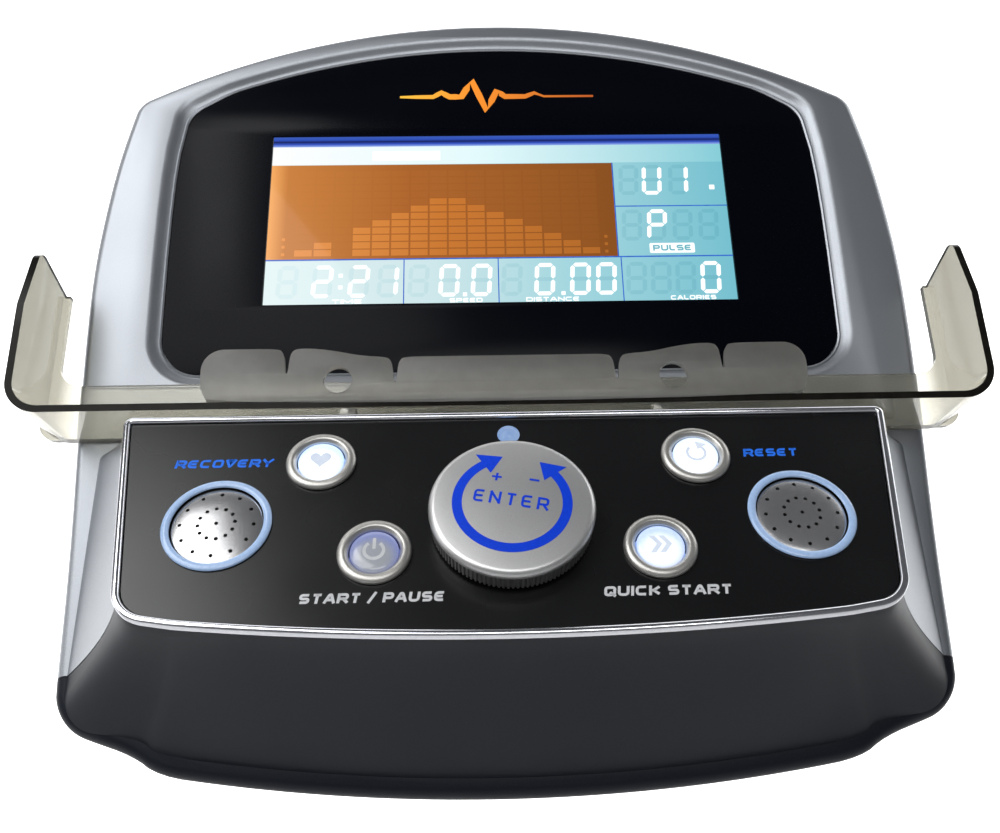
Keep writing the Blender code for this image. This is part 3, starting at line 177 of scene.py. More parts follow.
def shader(name, dark, light, rough, grain=900.0, bump=0.08, depth=0.05 * MM, cloud=25.0, **sockets):
    """A Principled material: fine grain in colour and bump, and broad clouds in roughness."""
    made = bpy.data.materials.new(name)
    made.use_nodes = True
    nodes = Nodes(made.node_tree)
    principled = made.node_tree.nodes["Principled BSDF"]
    fine = nodes.noise(grain, 2.0)
    nodes.link(nodes.ramp(fine, [(0.3, dark), (0.7, light)]), principled.inputs["Base Color"])
    nodes.link(nodes.spread(nodes.noise(cloud, 3.0), *rough), principled.inputs["Roughness"])
    if bump:
        nodes.link(nodes.bump(fine, bump, depth), principled.inputs["Normal"])
    for key, value in sockets.items():
        principled.inputs[key.replace("_", " ")].default_value = value
    return made, nodes, principled


def glow(name, stops, axis=None, low=0.0, high=1.0, strength=1.0):
    """A lit surface under a clear coat, whose colour runs along an axis or varies finely."""
    made, nodes, principled = shader(name, grey(0.002), grey(0.004), (0.12, 0.15), bump=0)
    if axis:
        value = nodes.along(axis, low, high)
    else:
        value = nodes.noise(400.0, 2.0)
    nodes.link(nodes.ramp(value, stops), principled.inputs["Emission Color"])
    principled.inputs["Emission Strength"].default_value = strength
    principled.inputs["Coat Weight"].default_value = 0.25
    principled.inputs["Coat Roughness"].default_value = 0.04
    principled.inputs["Specular IOR Level"].default_value = 0.1
    return made


def solid(name, dark, light, rough, **sockets):
    return shader(name, dark, light, rough, **sockets)[0]


SILVER = solid(
    "silver_paint", (0.30, 0.32, 0.35), (0.42, 0.44, 0.47), (0.36, 0.42), grain=3600.0, bump=0.06,
    Metallic=0.8
)
BLACK = solid(
    "black_shell", (0.009, 0.011, 0.017), (0.014, 0.017, 0.025), (0.36, 0.44), grain=2600.0, bump=0.06,
    Specular_IOR_Level=0.16,
)
REAR = solid("rear_shell", (0.012, 0.012, 0.015), (0.024, 0.025, 0.029), (0.45, 0.6), grain=1800.0, bump=0.3)
LENS = solid(
    "lens_black", (0.0010, 0.0015, 0.0035), (0.0015, 0.0022, 0.0050), (0.20, 0.26), bump=0,
    Specular_IOR_Level=0.07
)
OVERLAY = solid(
    "black_overlay", (0.0015, 0.0016, 0.002), (0.0025, 0.0027, 0.0032), (0.24, 0.30), grain=3200.0, bump=0.05,
    Specular_IOR_Level=0.6,
)
TRIM = solid("bright_trim", (0.80, 0.81, 0.86), (0.88, 0.89, 0.93), (0.10, 0.16), bump=0, Metallic=1.0)
SATIN = solid(
    "satin_ring", (0.52, 0.51, 0.48), (0.62, 0.61, 0.58), (0.34, 0.42), grain=3500.0, bump=0.06, Metallic=0.9
)
DIAL = solid("dial_satin", grey(0.64), grey(0.72), (0.36, 0.42), grain=3800.0, bump=0.05, Metallic=0.9)
GRIP = solid("dial_grip_metal", grey(0.32), grey(0.42), (0.30, 0.38), grain=2500.0, bump=0.05, Metallic=0.9)
GRILLE = solid(
    "grille_metal", (0.62, 0.62, 0.63), (0.74, 0.74, 0.75), (0.20, 0.28), grain=2500.0, bump=0.05,
    Metallic=0.95
)
STEEL = solid("zinc_steel", (0.48, 0.49, 0.50), (0.62, 0.62, 0.63), (0.28, 0.42), grain=700.0, Metallic=1.0)
BRASS = solid("brass", (0.62, 0.45, 0.20), (0.74, 0.56, 0.28), (0.28, 0.4), grain=900.0, Metallic=1.0)
BOARD = solid("solder_mask", (0.01, 0.12, 0.05), (0.02, 0.18, 0.08), (0.35, 0.5), grain=500.0)
DARK = solid("black_parts", (0.012, 0.012, 0.013), (0.022, 0.022, 0.024), (0.5, 0.65), grain=1500.0)
WHITE = solid("socket_nylon", (0.70, 0.69, 0.64), (0.80, 0.79, 0.75), (0.4, 0.5), grain=900.0)
PAPER = solid("cone_paper", (0.015, 0.015, 0.016), (0.035, 0.035, 0.036), (0.75, 0.9), grain=1400.0, bump=0.4)
RUBBER = solid("rubber", grey(0.012), grey(0.022), (0.7, 0.85), grain=1600.0, bump=0.2)
INK_BLUE = solid(
    "ink_blue", (0.0010, 0.045, 0.66), (0.002, 0.06, 0.78), (0.35, 0.45), grain=2000.0, bump=0,
    Specular_IOR_Level=0.2
)
LABEL_BLUE = solid(
    "label_blue", (0.02, 0.17, 0.90), (0.03, 0.22, 0.98), (0.35, 0.45), grain=2500.0, bump=0,
    Specular_IOR_Level=0.2
)
LABEL_GREY = solid("label_grey", (0.62, 0.63, 0.65), (0.72, 0.73, 0.75), (0.35, 0.45), grain=2500.0, bump=0)
SPEAKER_BLUE = solid(
    "speaker_blue", (0.38, 0.56, 0.88), (0.46, 0.64, 0.95), (0.16, 0.24), grain=900.0, bump=0, Coat_Weight=0.6
)


def smoke_material(name, dark, light, rough, transmission, ends=None):
    """Clear tinted plastic; its tint can be darker in the upright ends of the rack, which is painted shade.
    """
    made, nodes, principled = shader(name, dark, light, rough, grain=180.0, bump=0, cloud=60.0)
    principled.inputs["Transmission Weight"].default_value = transmission
    principled.inputs["IOR"].default_value = 1.46
    # The darker tint across the rack's upright ends is painted shade, not a different plastic.
    if ends:
        share = FLANGE_STRIP / (2 * RACK_HALF)
        stops = [(share, ends), (3 * share, light), (1 - 3 * share, light), (1 - share, ends)]
        across = nodes.ramp(nodes.along("X", -RACK_HALF, RACK_HALF), stops)
        nodes.link(across, principled.inputs["Base Color"])
    return made


# The last colour is the painted shade tint of the rack's upright ends.
SMOKE = smoke_material(
    "smoke_plastic", (0.86, 0.84, 0.75), (0.91, 0.89, 0.80), (0.04, 0.08), 0.92, (0.30, 0.29, 0.24)
)
# Near-black edges of the same clear plastic: painted shade for how its edges look dark as light passes
# through them edge-on.
SMOKE_EDGE_SHADE = smoke_material("smoke_edge_painted_shade", (0.008, 0.0075, 0.006), (0.014, 0.013, 0.011), (0.10, 0.14), 0.0)
SMOKE_EDGE_SHADE.node_tree.nodes["Principled BSDF"].inputs["Specular IOR Level"].default_value = 0.1
FROST = smoke_material("frosted_lip", (0.50, 0.49, 0.455), (0.58, 0.57, 0.535), (0.32, 0.38), 0.86)

# ---- outlines ----


def arc_points(centre, radius, start, end, steps):
    return [
        (centre[0] + radius * math.cos(a), centre[1] + radius * math.sin(a))
        for a in (start + (end - start) * i / steps for i in range(steps + 1))
    ]


def circle(radius, steps=48, centre=(0, 0)):
    return arc_points(centre, radius, 0, 2 * math.pi, steps)[:-1]


def smooth(outline, times=2):
    """Cuts the corners of a closed outline, doubling its points each time."""
    for _ in range(times):
        outline = [
            (a[0] + (b[0] - a[0]) * t, a[1] + (b[1] - a[1]) * t)
            for a, b in zip(outline, outline[1:] + outline[:1])
            for t in (0.25, 0.75)
        ]
    return outline


def rounded(corners, steps=6):
    outline = []
    count = len(corners)
    for i, (x, y, radius) in enumerate(corners):
        here = Vector((x, y))
        if radius <= 0:
            outline.append((x, y))
            continue
        before = (Vector(corners[i - 1][:2]) - here).normalized()
        after = (Vector(corners[(i + 1) % count][:2]) - here).normalized()
        half = before.angle(after) / 2
        centre = here + (before + after).normalized() * (radius / math.sin(half))
        reach = radius / math.tan(half)
        first = here + before * reach - centre
        turn = first.angle_signed(here + after * reach - centre)
        outline += [tuple(centre + Matrix.Rotation(-turn * k / steps, 2) @ first) for k in range(steps + 1)]
    return outline


def inset(outline, distance):
    area = sum(a[0] * b[1] - b[0] * a[1] for a, b in zip(outline, outline[1:] + outline[:1]))
    side = 1 if area > 0 else -1
    moved = []
    count = len(outline)
    for i, point in enumerate(outline):
        here = Vector(point)
        before = (here - Vector(outline[i - 1])).normalized()
        after = (Vector(outline[(i + 1) % count]) - here).normalized()
        normal = Vector((-before.y - after.y, before.x + after.x)).normalized() * side
        spread = max(normal.dot(Vector((-before.y, before.x)) * side), 0.5)
        moved.append(tuple(here + normal * (distance / spread)))
    return moved


def mirrored(half):
    return half + [(-x, y) for x, y in reversed(half) if abs(x) > 1e-9]


def arch(half, top, steps=12):
    xs = [half * (1 - i / steps) for i in range(steps + 1)]
    return [(x, top - ARCH_RADIUS + math.sqrt(ARCH_RADIUS**2 - x**2)) for x in xs]


def lens_outline(grow=0.0):
    half, corner, bottom = LENS_HALF + grow, LENS_CORNER + grow, LENS_BOTTOM - grow
    shoulder = LENS_SHOULDER + grow * 0.7
    right = arc_points((half - corner - 1.0 * MM, bottom + corner), corner, -math.pi / 2, 0, 8)
    right += [(half, 0.35 * shoulder), (half - 0.4 * MM, 0.7 * shoulder)]
    right += arc_points((half - 16.0 * MM, shoulder - 12.0 * MM), 13.5 * MM, 0.05, 1.1, 5)
    right += arch(half - 20.0 * MM, LENS_TOP + grow)
    return smooth(mirrored(right), 1)


def shell_points():
    shoulder_y = SHELL_BOTTOM + SHOULDER_X**2 / (2 * FOOT_ARC)
    right = [(x, SHELL_BOTTOM + x * x / (2 * FOOT_ARC)) for x in (SHOULDER_X * i / 6 for i in range(7))]
    right += [(SHOULDER_X + LOBE_VALLEY, shoulder_y + LOBE_STEP)]
    corner = SHELL_FOOT_CORNER
    right += arc_points((SHELL_FOOT_HALF - corner, SHELL_FOOT + corner), corner, -1.25, -0.1, 6)
    right += [(SHELL_FOOT_HALF + 1.0 * MM, -100 * MM), (SHELL_HALF - 2.2 * MM, -50 * MM)]
    right += [(SHELL_HALF - 0.6 * MM, -15 * MM), (SHELL_HALF, 15 * MM)]
    right += [(SHELL_HALF - 1.5 * MM, 40 * MM), (SHELL_HALF - 4.0 * MM, 65 * MM)]
    start = math.acos(SHELL_SHOULDER_HALF / ARCH_RADIUS)
    reach = ARCH_RADIUS - SHELL_CORNER
    centre = (reach * math.cos(start), SHELL_TOP - ARCH_RADIUS + reach * math.sin(start))
    right += arc_points(centre, SHELL_CORNER, 0.2, start, 5)[:-1]
    right += arch(SHELL_SHOULDER_HALF, SHELL_TOP)
    return mirrored(right)


def module_corners(half_top, top, half_foot, foot, corner, bottom, radius, step, share):
    shoulder_y = bottom + SHOULDER_X**2 / (2 * radius)
    right = [(half_top, top, 3 * MM), (half_foot, foot, corner)]
    right += [
        ((SHOULDER_X + 0.6 * LOBE_VALLEY) * share, shoulder_y + step, 0), (SHOULDER_X * share, shoulder_y, 0)
    ]
    right += [(x * share, bottom + x * x / (2 * radius), 0) for x in (SHOULDER_X * i / 4 for i in (3, 2, 1))]
    return right + [(0, bottom, 0)] + [(-x, y, r) for x, y, r in reversed(right)]


def rounded_inset(corners, shrink):
    moved = inset([(x, y) for x, y, _ in corners], shrink)
    return rounded(
        [(x, y, max(r - shrink, 0.5 * MM) if r else 0) for (x, y), (_, _, r) in zip(moved, corners)]
    )


def panel_outline(shrink=0.0, times=2):
    corners = module_corners(
        PANEL_HALF, PANEL_TOP, PANEL_FOOT_HALF, PANEL_FOOT, PANEL_CORNER, PANEL_BOTTOM, PANEL_FOOT_ARC,
        0.8 * MM, PANEL_FOOT_SHARE,
    )
    return smooth(rounded_inset(corners, shrink), times)


def module_outline(shrink=0.0, times=2):
    corners = module_corners(
        MODULE_HALF, MODULE_TOP, MODULE_FOOT_HALF, SHELL_FOOT + 4.0 * MM, 13 * MM,
        SHELL_BOTTOM + MODULE_INSET,
        FOOT_ARC, LOBE_STEP * 0.8, 1.0,
    )
    return smooth(rounded_inset(corners, shrink), times)


def panel_to_display(x, y, z):
    return Matrix.Rotation(-PANEL_BREAK, 3, "X") @ Vector((x, y, z)) + PANEL_ORIGIN


def ribbon_outline(points, widths):
    """An outline of changing width along a line of points."""
    left, right = [], []
    for i, (point, width) in enumerate(zip(points, widths)):
        here = Vector(point)
        ahead = (Vector(points[min(i + 1, len(points) - 1)]) - Vector(points[max(i - 1, 0)])).normalized()
        across = Vector((-ahead.y, ahead.x)) * (width / 2)
        left.append(tuple(here + across))
        right.append(tuple(here - across))
    return left + right[::-1]


def at_height(outline, height):
    return [(x, y, height) for x, y in outline]


# ---- mesh helpers ----


def mesh_of(name, bm):
    bmesh.ops.remove_doubles(bm, verts=bm.verts, dist=1e-6)
    bmesh.ops.recalc_face_normals(bm, faces=bm.faces)
    mesh = bpy.data.meshes.new(name)
    bm.to_mesh(mesh)
    bm.free()
    made = bpy.data.objects.new(name, mesh)
    bpy.context.scene.collection.objects.link(made)
    return made


def loft(name, rings):
    bm = bmesh.new()
    loops = [[bm.verts.new(p) for p in ring] for ring in rings]
    count = len(rings[0])
    for lower, upper in zip(loops, loops[1:]):
        for i in range(count):
            j = (i + 1) % count
            bm.faces.new((lower[i], lower[j], upper[j], upper[i]))
    bm.faces.new(list(reversed(loops[0])))
    bm.faces.new(loops[-1])
    return mesh_of(name, bm)


def ring_loft(name, rings):
    """A closed ring through outlines that follow its section all the way round."""
    bm = bmesh.new()
    loops = [[bm.verts.new(p) for p in ring] for ring in rings]
    count = len(rings[0])
    for lower, upper in zip(loops, loops[1:] + loops[:1]):
        for i in range(count):
            j = (i + 1) % count
            bm.faces.new((lower[i], lower[j], upper[j], upper[i]))
    return mesh_of(name, bm)


def prisms(name, outlines, low, high):
    """Separate flat solids, one on each outline."""
    bm = bmesh.new()
    for outline in outlines:
        bottom = [bm.verts.new((x, y, low)) for x, y in outline]
        top = [bm.verts.new((x, y, high)) for x, y in outline]
        count = len(outline)
        for i in range(count):
            j = (i + 1) % count
            bm.faces.new((bottom[i], bottom[j], top[j], top[i]))
        bm.faces.new(list(reversed(bottom)))
        bm.faces.new(top)
    return mesh_of(name, bm)


def plate(name, outlines, low, high):
    """A flat solid whose first outline is its edge and whose others are holes."""
    curve = bpy.data.curves.new(name, "CURVE")
    curve.dimensions = "2D"
    curve.fill_mode = "BOTH"
    curve.extrude = (high - low) / 2
    for outline in outlines:
        spline = curve.splines.new("POLY")
        spline.points.add(len(outline) - 1)
        for point, (x, y) in zip(spline.points, outline):
            point.co = (x, y, 0, 1)
        spline.use_cyclic_u = True
    return curve_to_mesh(name, curve, (low + high) / 2)


def curve_to_mesh(name, curve, height):
    guide = bpy.data.objects.new(name + "_guide", curve)
    bpy.context.scene.collection.objects.link(guide)
    bpy.context.view_layer.update()
    evaluated = guide.evaluated_get(bpy.context.evaluated_depsgraph_get())
    bm = bmesh.new()
    bm.from_mesh(bpy.data.meshes.new_from_object(evaluated))
    bmesh.ops.translate(bm, verts=bm.verts, vec=(0, 0, height))
    bpy.data.objects.remove(guide)
    return mesh_of(name, bm)


def lathe(name, profile, steps):
    """A solid of revolution through (radius, height) points."""
    bm = bmesh.new()
    loops = []
    for radius, height in profile:
        if radius <= 0:
            loops.append([bm.verts.new((0, 0, height))] * steps)
        else:
            loops.append([bm.verts.new((x, y, height)) for x, y in circle(radius, steps)])
    for low, high in zip(loops, loops[1:] + loops[:1]):
        for i in range(steps):
            j = (i + 1) % steps
            corners = list(dict.fromkeys((low[i], low[j], high[j], high[i])))
            if len(corners) > 2:
                bm.faces.new(corners)
    return mesh_of(name, bm)


def apply_modifiers(obj):
    bpy.context.view_layer.update()
    evaluated = obj.evaluated_get(bpy.context.evaluated_depsgraph_get())
    mesh = bpy.data.meshes.new_from_object(evaluated)
    obj.modifiers.clear()
    obj.data = mesh
    return obj


def combine(target, other, operation):
    modifier = target.modifiers.new(operation.lower(), "BOOLEAN")
    modifier.operation = operation
    modifier.object = other
    modifier.solver = "EXACT"
    apply_modifiers(target)
    bpy.data.objects.remove(other)
    return target


def cut(target, other):
    return combine(target, other, "DIFFERENCE")


def join(target, other):
    return combine(target, other, "UNION")


def bevel(obj, width, segments=3, angle=35.0):
    modifier = obj.modifiers.new("bevel", "BEVEL")
    modifier.width = width
    modifier.segments = segments
    modifier.limit_method = "ANGLE"
    modifier.angle_limit = math.radians(angle)
    modifier.harden_normals = False
    modifier.use_clamp_overlap = True
    return apply_modifiers(obj)


def finish_piece(obj, place, body, slot_name, material, *nodes, angle=32.0):
    """Puts a piece in its frame with its material, ties it to its body and hides the CAD nodes it replaces.
    """
    obj.matrix_world = place
    obj.data.shade_smooth()
    obj.data.set_sharp_from_angle(angle=math.radians(angle))
    if not obj.data.materials:
        obj.data.materials.append(material)
    elif material:
        obj.data.materials[0] = material
    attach(obj, body)
    if nodes:
        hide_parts(*nodes)
    return obj


# ---- front shells ----


def ease(value, low, high):
    t = min(max((value - low) / (high - low), 0.0), 1.0)
    return t * t * (3 - 2 * t)


def module_rings(shrink, top_height, bottom_height, steps=14):
    """Rings of the raised module: flared at its foot, with a soft valley beside each corner lobe."""
    foot = module_outline(shrink)
    head = [panel_to_display(x, y, top_height) for x, y in panel_outline(shrink)]
    rings = [at_height(foot, bottom_height)]
    for k in range(steps + 1):
        t = k / steps
        ring = []
        for (x, y), high in zip(foot, head):
            side = ease(abs(x), 95 * MM, 125 * MM) if y < MODULE_TOP - 60 * MM else 1.0
            power = 1.16 + 0.34 * side
            share = 1 - (1 - t) ** power
            low = Vector((x, y, FACE - shrink))
            here = low.lerp(high, share)
            here.z = low.z + (high.z - low.z) * t
            ring.append(tuple(here))
        rings.append(ring)
    return rings


def shell_solid(name):
    outline = smooth(shell_points(), 2)
    roll = [(math.radians(15 * k)) for k in range(7)]
    rings = [at_height(outline, PARTING)]
    rings += [
        at_height(inset(outline, 4.0 * MM * (1 - math.cos(a))), FACE - 6.0 * MM + 6.0 * MM * math.sin(a))
        for a in roll
    ]
    outer = loft(name, rings)
    join(outer, loft("module", module_rings(0, RIM_TOP, FACE - WALL / 2)))
    inner = [
        at_height(inset(outline, WALL), PARTING - OVERLAP),
        at_height(inset(outline, WALL), FACE - 6.0 * MM),
        at_height(inset(outline, WALL + 3.0 * MM), FACE - WALL),
    ]
    cut(outer, loft("cavity", inner))
    cut(outer, loft("module_cavity", module_rings(WALL, RIM_TOP - WALL, PARTING - OVERLAP)))
    return outer


def split_block(name, side):
    along = (SPLIT_HIGH - SPLIT_LOW).normalized()
    normal = Vector((0, along.z, -along.y)) * side
    low = SPLIT_LOW - along * 100 * MM + normal * (SPLIT_GAP / 2)
    high = SPLIT_HIGH + along * 100 * MM + normal * (SPLIT_GAP / 2)
    reach = normal * 500 * MM
    ring = (low, high, high + reach, low + reach)
    return loft(name, [[(x, p.y, p.z) for p in ring] for x in (-250 * MM, 250 * MM)])


def panel_prism(shrink):
    outline = panel_outline(shrink, 1)
    heights = (-2 * DECK_THICK - 2 * MM, 5 * MM)
    return loft("panel_opening", [[tuple(panel_to_display(x, y, z)) for x, y in outline] for z in heights])


def make_shells():
    whole = shell_solid("housing_skin")
    shroud = bpy.data.objects.new("shroud_skin", whole.data.copy())
    bpy.context.scene.collection.objects.link(shroud)
    combine(whole, split_block("upper", 1), "INTERSECT")
    cut(whole, panel_prism(RIM_WIDTH))
    join(whole, plate("seat", [lens_outline(5.0 * MM)], -LENS_THICK - SEAT_THICK - GAP, FACE - 1.0 * MM))
    slope = [(0.0, 0.02), (0.25, 0.25), (0.5, 0.62), (0.75, 0.9), (1.0, 1.0)]
    rings = [
        at_height(lens_outline(-SEAT_LEDGE), PARTING),
        at_height(lens_outline(-SEAT_LEDGE), -LENS_THICK - GAP),
        at_height(lens_outline(GAP), -LENS_THICK - GAP),
        at_height(lens_outline(GAP), 0.2 * MM),
        at_height(lens_outline(0.9 * MM), 0.55 * MM),
        at_height(lens_outline(1.5 * MM), 0.2 * MM),
    ]
    rings += [
        at_height(lens_outline(BEZEL_RIM + BEZEL_SLOPE * a), 0.3 * MM + (FACE - 0.3 * MM) * b)
        for a, b in slope
    ]
    rings.append(at_height(lens_outline(BEZEL_RIM + BEZEL_SLOPE), FACE + OVERLAP))
    cut(whole, loft("window", rings))
    finish_piece(whole, DISPLAY, "console", "silver_housing", SILVER, "front_housing", angle=28)
    combine(shroud, split_block("lower", -1), "INTERSECT")
    cut(shroud, panel_prism(RIM_WIDTH))
    finish_piece(shroud, DISPLAY, "console", "black_shell", BLACK, "lower_shroud", angle=28)


# ---- display ----


def rectangle(x0, y0, x1, y1, radius=0.0):
    if radius <= 0:
        return [(x0, y0), (x1, y0), (x1, y1), (x0, y1)]
    return rounded([(x0, y0, radius), (x0, y1, radius), (x1, y1, radius), (x1, y0, radius)], 3)


def mm(outline):
    return [(x * MM, y * MM) for x, y in outline]


SEGMENTS = {
    "0": "abcdef", "1": "bc", "2": "abged", "8": "abcdefg", "U": "bcdef", "P": "abefg",
}  # the lit bars of each seven-segment figure


def figure(char, centre, bottom, width=8.2, height=14.4, bar=1.75, lean=0.06):
    """The lit bars of one figure, in millimetres."""
    gap = 0.22
    half, mid = width / 2, height / 2
    i = bar / 2
    places = {
        "a": ((-half + i, height - i), (half - i, height - i)),
        "g": ((-half + i, mid), (half - i, mid)),
        "d": ((-half + i, i), (half - i, i)),
        "f": ((-half + i, mid), (-half + i, height - i)),
        "b": ((half - i, mid), (half - i, height - i)),
        "e": ((-half + i, i), (-half + i, mid)),
        "c": ((half - i, i), (half - i, mid)),
    }
    bars = []
    for letter in SEGMENTS[char]:
        (x0, y0), (x1, y1) = places[letter]
        along = Vector((x1 - x0, y1 - y0)).normalized()
        across = Vector((-along.y, along.x)) * i
        start = Vector((x0, y0)) + along * gap
        end = Vector((x1, y1)) - along * gap
        shape = [start, start + along * i - across, end - along * i - across, end, end - along * i + across]
        shape.append(start + along * i + across)
        bars.append([(centre + p.x + (p.y - mid) * lean, bottom + p.y) for p in shape])
    return bars


def dot(x, y, size=1.7):
    return rectangle(x - size / 2, y - size / 2, x + size / 2, y + size / 2, 0.3)


LCD_BACK = -1.9 * MM
LCD_FRONT = -0.75 * MM


def layer(level):
    """Low and high side of a printed layer of the LCD."""
    low = LCD_FRONT + (0.01 + 0.07 * level) * MM
    return low, low + 0.05 * MM


def screen_piece(name, outlines, level, material):
    low, high = layer(level)
    piece = prisms(name, [mm(o) for o in outlines], low, high)
    return finish_piece(piece, DISPLAY, "console", "lcd_panel", material)


LOOP = (((0.5, 1), (0, 1), (0, 0), (0.5, 0)), ((0.5, 1), (1, 1), (1, 0), (0.5, 0)))
STEM = ((0, 0), (0, 1))
LETTERS = {
    " ": (0.1, ()),
    "/": (0.6, (((0, -0.1), (0.6, 1.1)),)),
    "A": (1.05, (((0, 0), (0.42, 1), (0.63, 1), (1.05, 0)), ((0.2, 0.3), (0.85, 0.3)))),
    "C": (1, (((1, 1), (0, 1), (0, 0), (1, 0)),)),
    "D": (1, (STEM, ((0, 1), (1, 1), (1, 0), (0, 0)))),
    "E": (0.95, (((0.95, 1), (0, 1), (0, 0), (0.95, 0)), ((0, 0.5), (0.85, 0.5)))),
    "I": (0, (STEM,)),
    "K": (1, (STEM, ((0, 0.5), (0.35, 0.5), (1, 1)), ((0.35, 0.5), (1, 0)))),
    "L": (0.85, (((0, 1), (0, 0), (0.85, 0)),)),
    "M": (1.2, (STEM, ((0, 1), (0.6, 0.25)), ((1.2, 1), (0.6, 0.25)), ((1.2, 0), (1.2, 1)))),
    "N": (1, (STEM, ((0, 1), (1, 0)), ((1, 0), (1, 1)))),
    "O": (1, LOOP),
    "P": (0.95, (STEM, ((0, 1), (0.95, 1), (0.95, 0.42), (0, 0.42)))),
    "Q": (1, (*LOOP, ((0.6, 0.25), (1, -0.1)))),
    "R": (1, (STEM, ((0, 1), (1, 1), (1, 0.42), (0, 0.42)), ((0.55, 0.42), (1, 0)))),
    "S": (0.95, (((0.95, 1), (0, 1), (0, 0.5), (0.95, 0.5), (0.95, 0), (0, 0)),)),
    "T": (0.95, (((0, 1), (0.95, 1)), ((0.475, 0), (0.475, 1)))),
    "U": (1, (((0, 1), (0, 0), (1, 0), (1, 1)),)),
    "V": (1, (((0, 1), (0.45, 0), (0.55, 0), (1, 1)),)),
    "Y": (1, (((0, 1), (0.5, 0.45)), ((1, 1), (0.5, 0.45)), ((0.5, 0), (0.5, 0.5)))),
}  # each letter's width, and its strokes in a cell one high


def stroke_outline(points, bar, turn):
    """A stroke of even width whose corners are rounded and whose upright ends reach the full height."""
    line = [Vector(p) for p in points]
    for end, inner in ((0, 1), (-1, -2)):
        way = line[end] - line[inner]
        if abs(way.y) > 0.8 * abs(way.x):
            line[end] = line[end] + way.normalized() * bar / 2
    path = [line[0]]
    for before, corner, after in zip(line, line[1:], line[2:]):
        reach = min(turn, (before - corner).length / 2, (after - corner).length / 2)
        start = corner + (before - corner).normalized() * reach
        end = corner + (after - corner).normalized() * reach
        path += [start.lerp(corner, t).lerp(corner.lerp(end, t), t) for t in (0, 0.25, 0.5, 0.75, 1)]
    path.append(line[-1])
    return ribbon_outline([tuple(p) for p in path], [bar] * len(path))


def fitted_text(name, words, width, height, weight=0.26, space=0.14):
    """Plain wide squared lettering, centred on the origin and fitted to a width and a height."""
    bar, gap = weight * height, space * height
    span = sum(LETTERS[letter][0] for letter in words)
    cell = (width - len(words) * (bar + gap) + gap) / span
    tall = height - bar
    outlines, left = [], -width / 2 + bar / 2
    for letter in words:
        reach, strokes = LETTERS[letter]
        for points in strokes:
            placed = [(left + x * cell, y * tall - tall / 2) for x, y in points]
            outlines.append(stroke_outline(placed, bar, 1.1 * bar))
        left += reach * cell + bar + gap
    return prisms(name, outlines, -0.02 * MM, 0.02 * MM)


def move_mesh(obj, x=0.0, y=0.0, z=0.0, turn=0.0):
    obj.data.transform(Matrix.Translation((x, y, z)) @ Matrix.Rotation(turn, 4, "Z"))
    return obj


